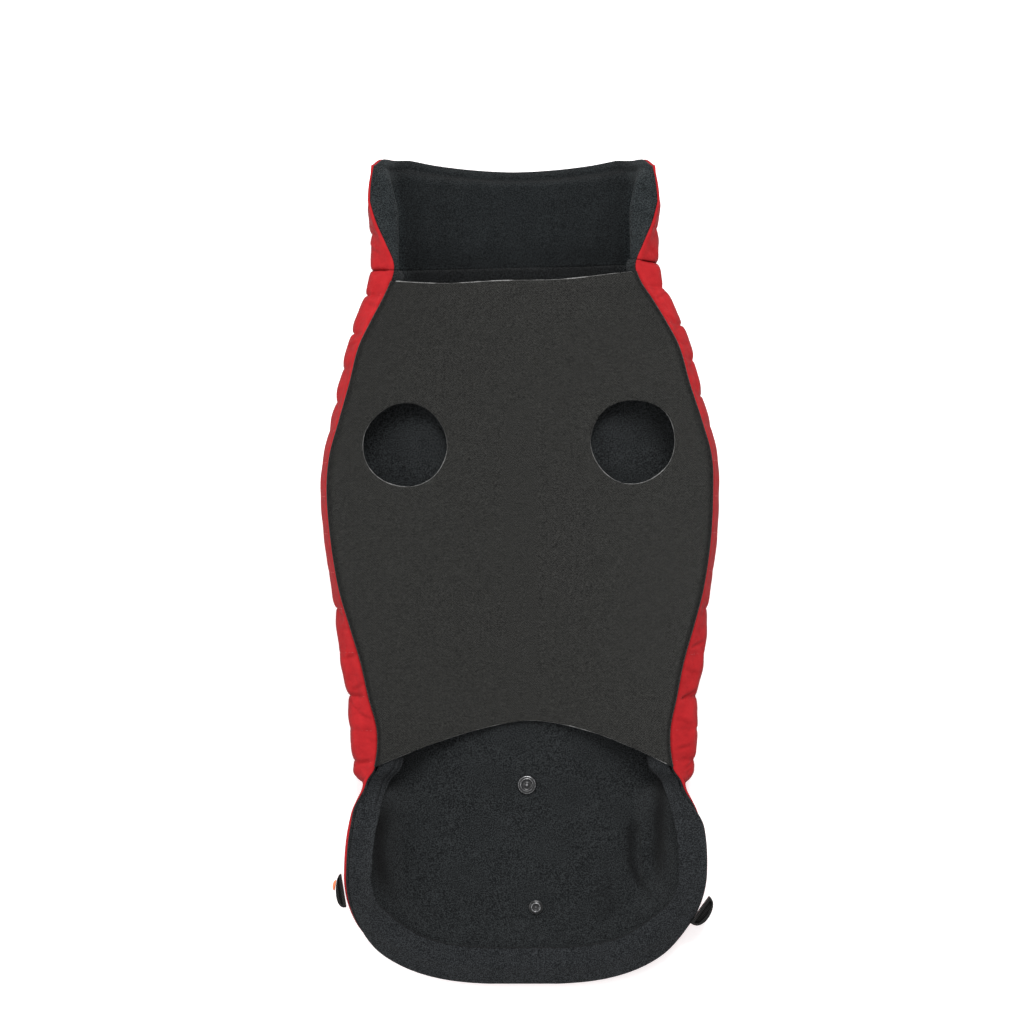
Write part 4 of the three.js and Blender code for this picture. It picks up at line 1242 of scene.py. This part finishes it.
def rolled_over(p, around, outside):
    """The band's outer side, bent round the hem's edge."""
    x, y = FACING_LINE[p].T
    v = cut_of(x, y)
    rim_at, out = sheet(v, y), outward(v, y)
    level = np.c_[out[:, 0], out[:, 1], np.zeros(len(x))]
    level /= np.linalg.norm(level, axis=1, keepdims=True)
    over = np.cross(np.cross(level, (0, 0, 1.0)), out)
    over *= np.sign(over[:, 2:3]) / np.linalg.norm(over, axis=1, keepdims=True)
    angle = np.radians(mix(ROLL_FROM, ROLL_TO, around))[:, None]
    radius = ROLL_RADIUS + ROLL_THICK * outside
    return rim_at - ROLL_MIDDLE * out + radius * (np.cos(angle) * out + np.sin(angle) * over)


def band_creases(t, x, y):
    """Two small creases at the left end, where the band is bent sharply."""
    total = np.zeros(len(t))
    for at, ahead, behind in BAND_CREASES:
        fade = smooth(ahead + 4, ahead, y) * smooth(behind, behind + 9, y) * (x < 0)
        total += CREASE_DEEP * fade * np.exp(-(((t - at) / CREASE_WIDE) ** 2))
    return total


def facing(t, station, outside=1.0):
    """Places on the band's upper face, or on its lower one with outside at 0."""
    p = station.astype(int)
    x, y = FACING_LINE[p].T
    rolled = np.where(x > 0, smooth(*ROLLED_RIGHT, y), smooth(*ROLLED_LEFT, y))
    lying_t = mix(t, np.clip((t - ROLL_SHARE) / (1 - ROLL_SHARE), 0, 1), rolled)
    bent = rolled * (t <= ROLL_SHARE)
    roll = rolled_over(p, np.clip(t / ROLL_SHARE, 0, 1), outside)
    places = mix(facing_lying(p, lying_t, outside), roll, bent[:, None])
    places[:, 2] -= band_creases(t, x, y) * outside
    return places


columns = np.r_[np.linspace(0, 0.88, 24), np.linspace(0.88, 1, 9)[1:]]
stations = np.arange(len(FACING_LINE))
bm = drape(columns, stations, facing, lambda t, station: facing(t, station, 0.0), width=26.0)
hem_facing = keep(bm, "facing_band", [FACING_LIT])
EDGE_SHADE, CREASE_SHADE = 0.95, 0.55


def kept(piece, name):
    values = np.zeros(len(piece.data.vertices))
    piece.data.attributes[name].data.foreach_get("value", values)
    return values


def band_darkness(x, y):
    """Dark along the inner edge and in the creases."""
    t, station = kept(hem_facing, "across"), kept(hem_facing, "along").round().astype(int)
    return EDGE_SHADE * smooth(0.935, 0.99, t) + CREASE_SHADE * band_creases(t, *FACING_LINE[station].T)


shade(hem_facing, band_darkness)
declare(hem_facing, "fleece", "hem_facing")

# %% [markdown]
# ## Stitches
# A stitch shows as a short thread lying in the groove. One small lens of thread is repeated along each line,
# turned to follow it and pressed a little into the cloth.

# %% Thread, and how to sew along a line
STITCH_LONG, STITCH_STEP, THREAD = 2.5, 3.3, 0.42
LOOK_AHEAD = 0.4  # millimetres along the line, to find its direction
BACK_THREAD_OUT, COLLAR_THREAD_SUNK = 0.05, 0.95  # from the cloth's face, in millimetres


def along_line(points, step):
    """Middles and directions at even steps along a line of points."""
    lengths = np.r_[0, np.cumsum(np.linalg.norm(np.diff(points, axis=0), axis=1))]
    at = np.arange(step / 2, lengths[-1], step)
    places, ahead = (
        np.stack([np.interp(where, lengths, points[:, k]) for k in range(3)], axis=1)
        for where in (at, at + LOOK_AHEAD)
    )
    return zip(places, ahead - places)


def sew(name, lines, look):
    bm = bmesh.new()
    for points in lines:
        for place, direction in along_line(points, STITCH_STEP):
            if np.linalg.norm(direction) < 1e-6:
                continue
            turn = Vector(direction).to_track_quat("Z", "Y").to_matrix().to_4x4()
            size = Matrix.Diagonal((THREAD * MM, THREAD * MM, STITCH_LONG * MM, 1))
            matrix = Matrix.Translation(Vector(place * MM)) @ turn @ size
            bmesh.ops.create_icosphere(bm, subdivisions=1, radius=0.5, matrix=matrix)
    return keep(bm, name, [look])


def thread_look(name, color):
    dark = tuple(part * 0.7 for part in color)
    return grained_look(name, 0.6, (3.0,), (0.3, dark), (0.7, color), (0.4, 0.1))


RED_THREAD = thread_look("red_thread", (0.42, 0.012, 0.016))
BLACK_THREAD = thread_look("black_thread", (0.012, 0.013, 0.015))
print("finish:", RED_THREAD.name, BLACK_THREAD.name)

# %% [markdown]
# Red thread runs along every quilting line of the back, down one wall and up the other. Black thread closes the
# top edge of the collar.

# %% Sew the back and the collar
line_v = np.linspace(-0.985, 0.985, 260)


def quilt_line(row):
    rows = row - sway(line_v, row)
    y = tilted(rows, line_v)
    return layer(line_v, y, quilted(line_v, rows, y, STITCH_LINES) + BACK_THREAD_OUT)


declare(sew("quilting_stitches", map(quilt_line, STITCH_LINES[1:-2]), RED_THREAD), "shell_nylon")


def collar_line(inset):
    """A line on the collar's lining, a little below its top edge."""
    y = collar_row(1.0, line_v) - inset
    share = (y - collar_row(0, line_v)) / (collar_row(1, line_v) - collar_row(0, line_v))
    body = pinch(line_v, y)
    thick = mix(FLEECE_RIM, FLEECE_BODY, top_pinch(share) * body) + COLLAR_LOFT * body
    return layer(line_v, y, collar_back(line_v, share) - SEAM_GAP - thick + COLLAR_THREAD_SUNK)


declare(sew("collar_topstitching", [collar_line(TOPSTITCH)], BLACK_THREAD), "fleece")

# %% [markdown]
# ## Press studs
# Each half is pressed from sheet metal and lacquered black. Where light glints on the raised rings and in the
# middle, a bright metal finish paints the highlight. A stud is round, so its profile is drawn once and spun.
# The faces on the rings get the bright finish.


# %% Finishes and profiles of the studs
LACQUER_STOPS = (0.3, (0.004, 0.0042, 0.0045)), (0.8, (0.012, 0.0125, 0.013))
RING_HIGHLIGHT_STOPS = (0.35, (0.05, 0.05, 0.052)), (0.65, (0.36, 0.36, 0.37))
SCRATCHES = (0.15, 0.05)
LACQUER = grained_look("black_lacquer", 0.3, (2.0, 3.0), *LACQUER_STOPS, SCRATCHES, Specular_IOR_Level=0.5)
# Painted highlight: a bright metal finish on the rings and middles of the studs, where the light glints.
RING_HIGHLIGHT = grained_look("ring_highlight", 0.3, (1.1, 3.0), *RING_HIGHLIGHT_STOPS, SCRATCHES, Metallic=1.0)
LINING_TOP = QUILT_CREST + SEAM_GAP + FLEECE_BODY + SEAM_GAP  # the studs sit here
SOCKET = (
    [(0, 0), (5.9, 0), (6.0, 0.3), (6.0, 0.9), (5.85, 1.25), (5.6, 1.5), (5.3, 1.6), (4.9, 1.45), (4.4, 1.5)]
    + [(4.1, 1.75), (3.85, 1.8), (3.6, 1.6), (3.5, 0.9), (2.4, 0.8), (1.7, 0.85), (1.3, 1.4), (0.7, 1.8)]
    + [(0, 1.9)]
)
STUD = (
    [(0, 0), (4.5, 0), (4.6, 0.3), (4.5, 0.65), (3.9, 0.75), (3.6, 0.9), (3.4, 1.6), (3.15, 2.1), (2.8, 2.35)]
    + [(2.45, 2.2), (2.2, 1.3), (1.2, 1.1), (0.5, 1.25), (0, 1.3)]
)
print("finish:", LACQUER.name, RING_HIGHLIGHT.name)


# %% Spin the studs
def spin_stud(name, node, profile, rings, x, y):
    bm = bmesh.new()
    verts = [bm.verts.new((r * MM, 0, z * MM)) for r, z in profile]
    edges = [bm.edges.new(pair) for pair in zip(verts, verts[1:])]
    turn = {"cent": (0, 0, 0), "axis": (0, 0, 1), "angle": 2 * math.pi, "steps": 72}
    bmesh.ops.spin(bm, geom=verts + edges, use_merge=True, **turn)
    bmesh.ops.remove_doubles(bm, verts=bm.verts[:], dist=1e-7)
    bmesh.ops.recalc_face_normals(bm, faces=bm.faces[:])
    for face in bm.faces:
        middle = face.calc_center_median()
        radius = math.hypot(middle.x, middle.y) / MM
        face.material_index = int(middle.z > 0.4 * MM and any(a < radius < b for a, b in rings))
    bmesh.ops.translate(bm, verts=bm.verts[:], vec=(x * MM, y * MM, LINING_TOP * MM))
    declare(keep(bm, name, [LACQUER, RING_HIGHLIGHT]), "black_metal", node)


spin_stud("stud_socket", "snap_socket", SOCKET, [(5.2, 5.9), (3.75, 4.15), (0, 0.75)], 4.8, -138.4)
spin_stud("stud_post", "snap_stud", STUD, [(2.6, 3.3), (0, 0.5)], 10.6, -217.7)

# %% [markdown]
# ## Tabs and spot
# The tabs and the spot keep their solids, which already have the right form, and get a finish each: ribbed tape
# and moulded rubber. The end of each tape is folded back into its loop, which closes the loop to the eye.


# %% Finishes of tape and rubber
RUBBER_STOPS = (0.3, (0.60, 0.12, 0.03)), (0.7, (0.72, 0.19, 0.06))


def tape_look():
    look, tree, shader = new_look("ribbed_tape", 0.7, Specular_IOR_Level=0.2)
    weave = place_group(tree, WEAVE, in_millimetres(tree), Threads=0.6)
    color = ramp(tree, weave.outputs["Height"], (0.2, (0.007, 0.007, 0.0068)), (0.9, (0.036, 0.035, 0.033)))
    tree.links.new(color, shader.inputs["Base Color"])
    bump(tree, shader, weave.outputs["Height"], 0.8, 0.4)
    return look


TAPE, RUBBER = tape_look(), grained_look("orange_rubber", 0.5, (1.2,), *RUBBER_STOPS, (0.2, 0.1))
for node, look in (("hem_tab_left", TAPE), ("hem_tab_right", TAPE), ("tab_spot", RUBBER)):
    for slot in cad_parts[node].material_slots:
        slot.material = look
print("finish:", TAPE.name, RUBBER.name)

# %% Fold the ends of the tape into the loops
# x, y, turn in degrees, length, bow, skew, top
TABS = ((-113.4, -205.6, 99, 21.5, 5.0, 0.25, 25.0), (116.4, -218.3, -126, 21.0, 7.4, -0.1, 20.6))
INSET, SUNK, FOLD_HIGH = 1.0, 2.2, 5.0

bm = bmesh.new()
for x, y, turn, length, bow, skew, top in TABS:
    made = bmesh.ops.create_circle(bm, cap_ends=True, segments=32, radius=1.0)
    for vert in made["verts"]:
        along, out = vert.co.x, abs(vert.co.y) ** 0.8 * (1 - skew * vert.co.x)
        upper = vert.co.y > 0
        vert.co = ((length / 2 - INSET) * along, INSET + (bow - 2 * INSET) * out * upper, top - SUNK)
    face = made["verts"][0].link_faces[0]
    sunk = bmesh.ops.extrude_face_region(bm, geom=[face], use_keep_orig=True)
    lower = [item for item in sunk["geom"] if isinstance(item, bmesh.types.BMVert)]
    bmesh.ops.translate(bm, verts=lower, vec=(0, 0, -FOLD_HIGH))
    place = Matrix.Translation((x * MM, y * MM, 0)) @ Matrix.Rotation(math.radians(turn), 4, "Z")
    bmesh.ops.transform(bm, verts=made["verts"] + lower, matrix=place @ Matrix.Scale(MM, 4))
bmesh.ops.recalc_face_normals(bm, faces=bm.faces[:])
declare(keep(bm, "tape_ends", [TAPE]), "tape")

# %% [markdown]
# ## Finish
# The dressed coat should be as large as the plain one.

# %% Done
print("coat dressed")
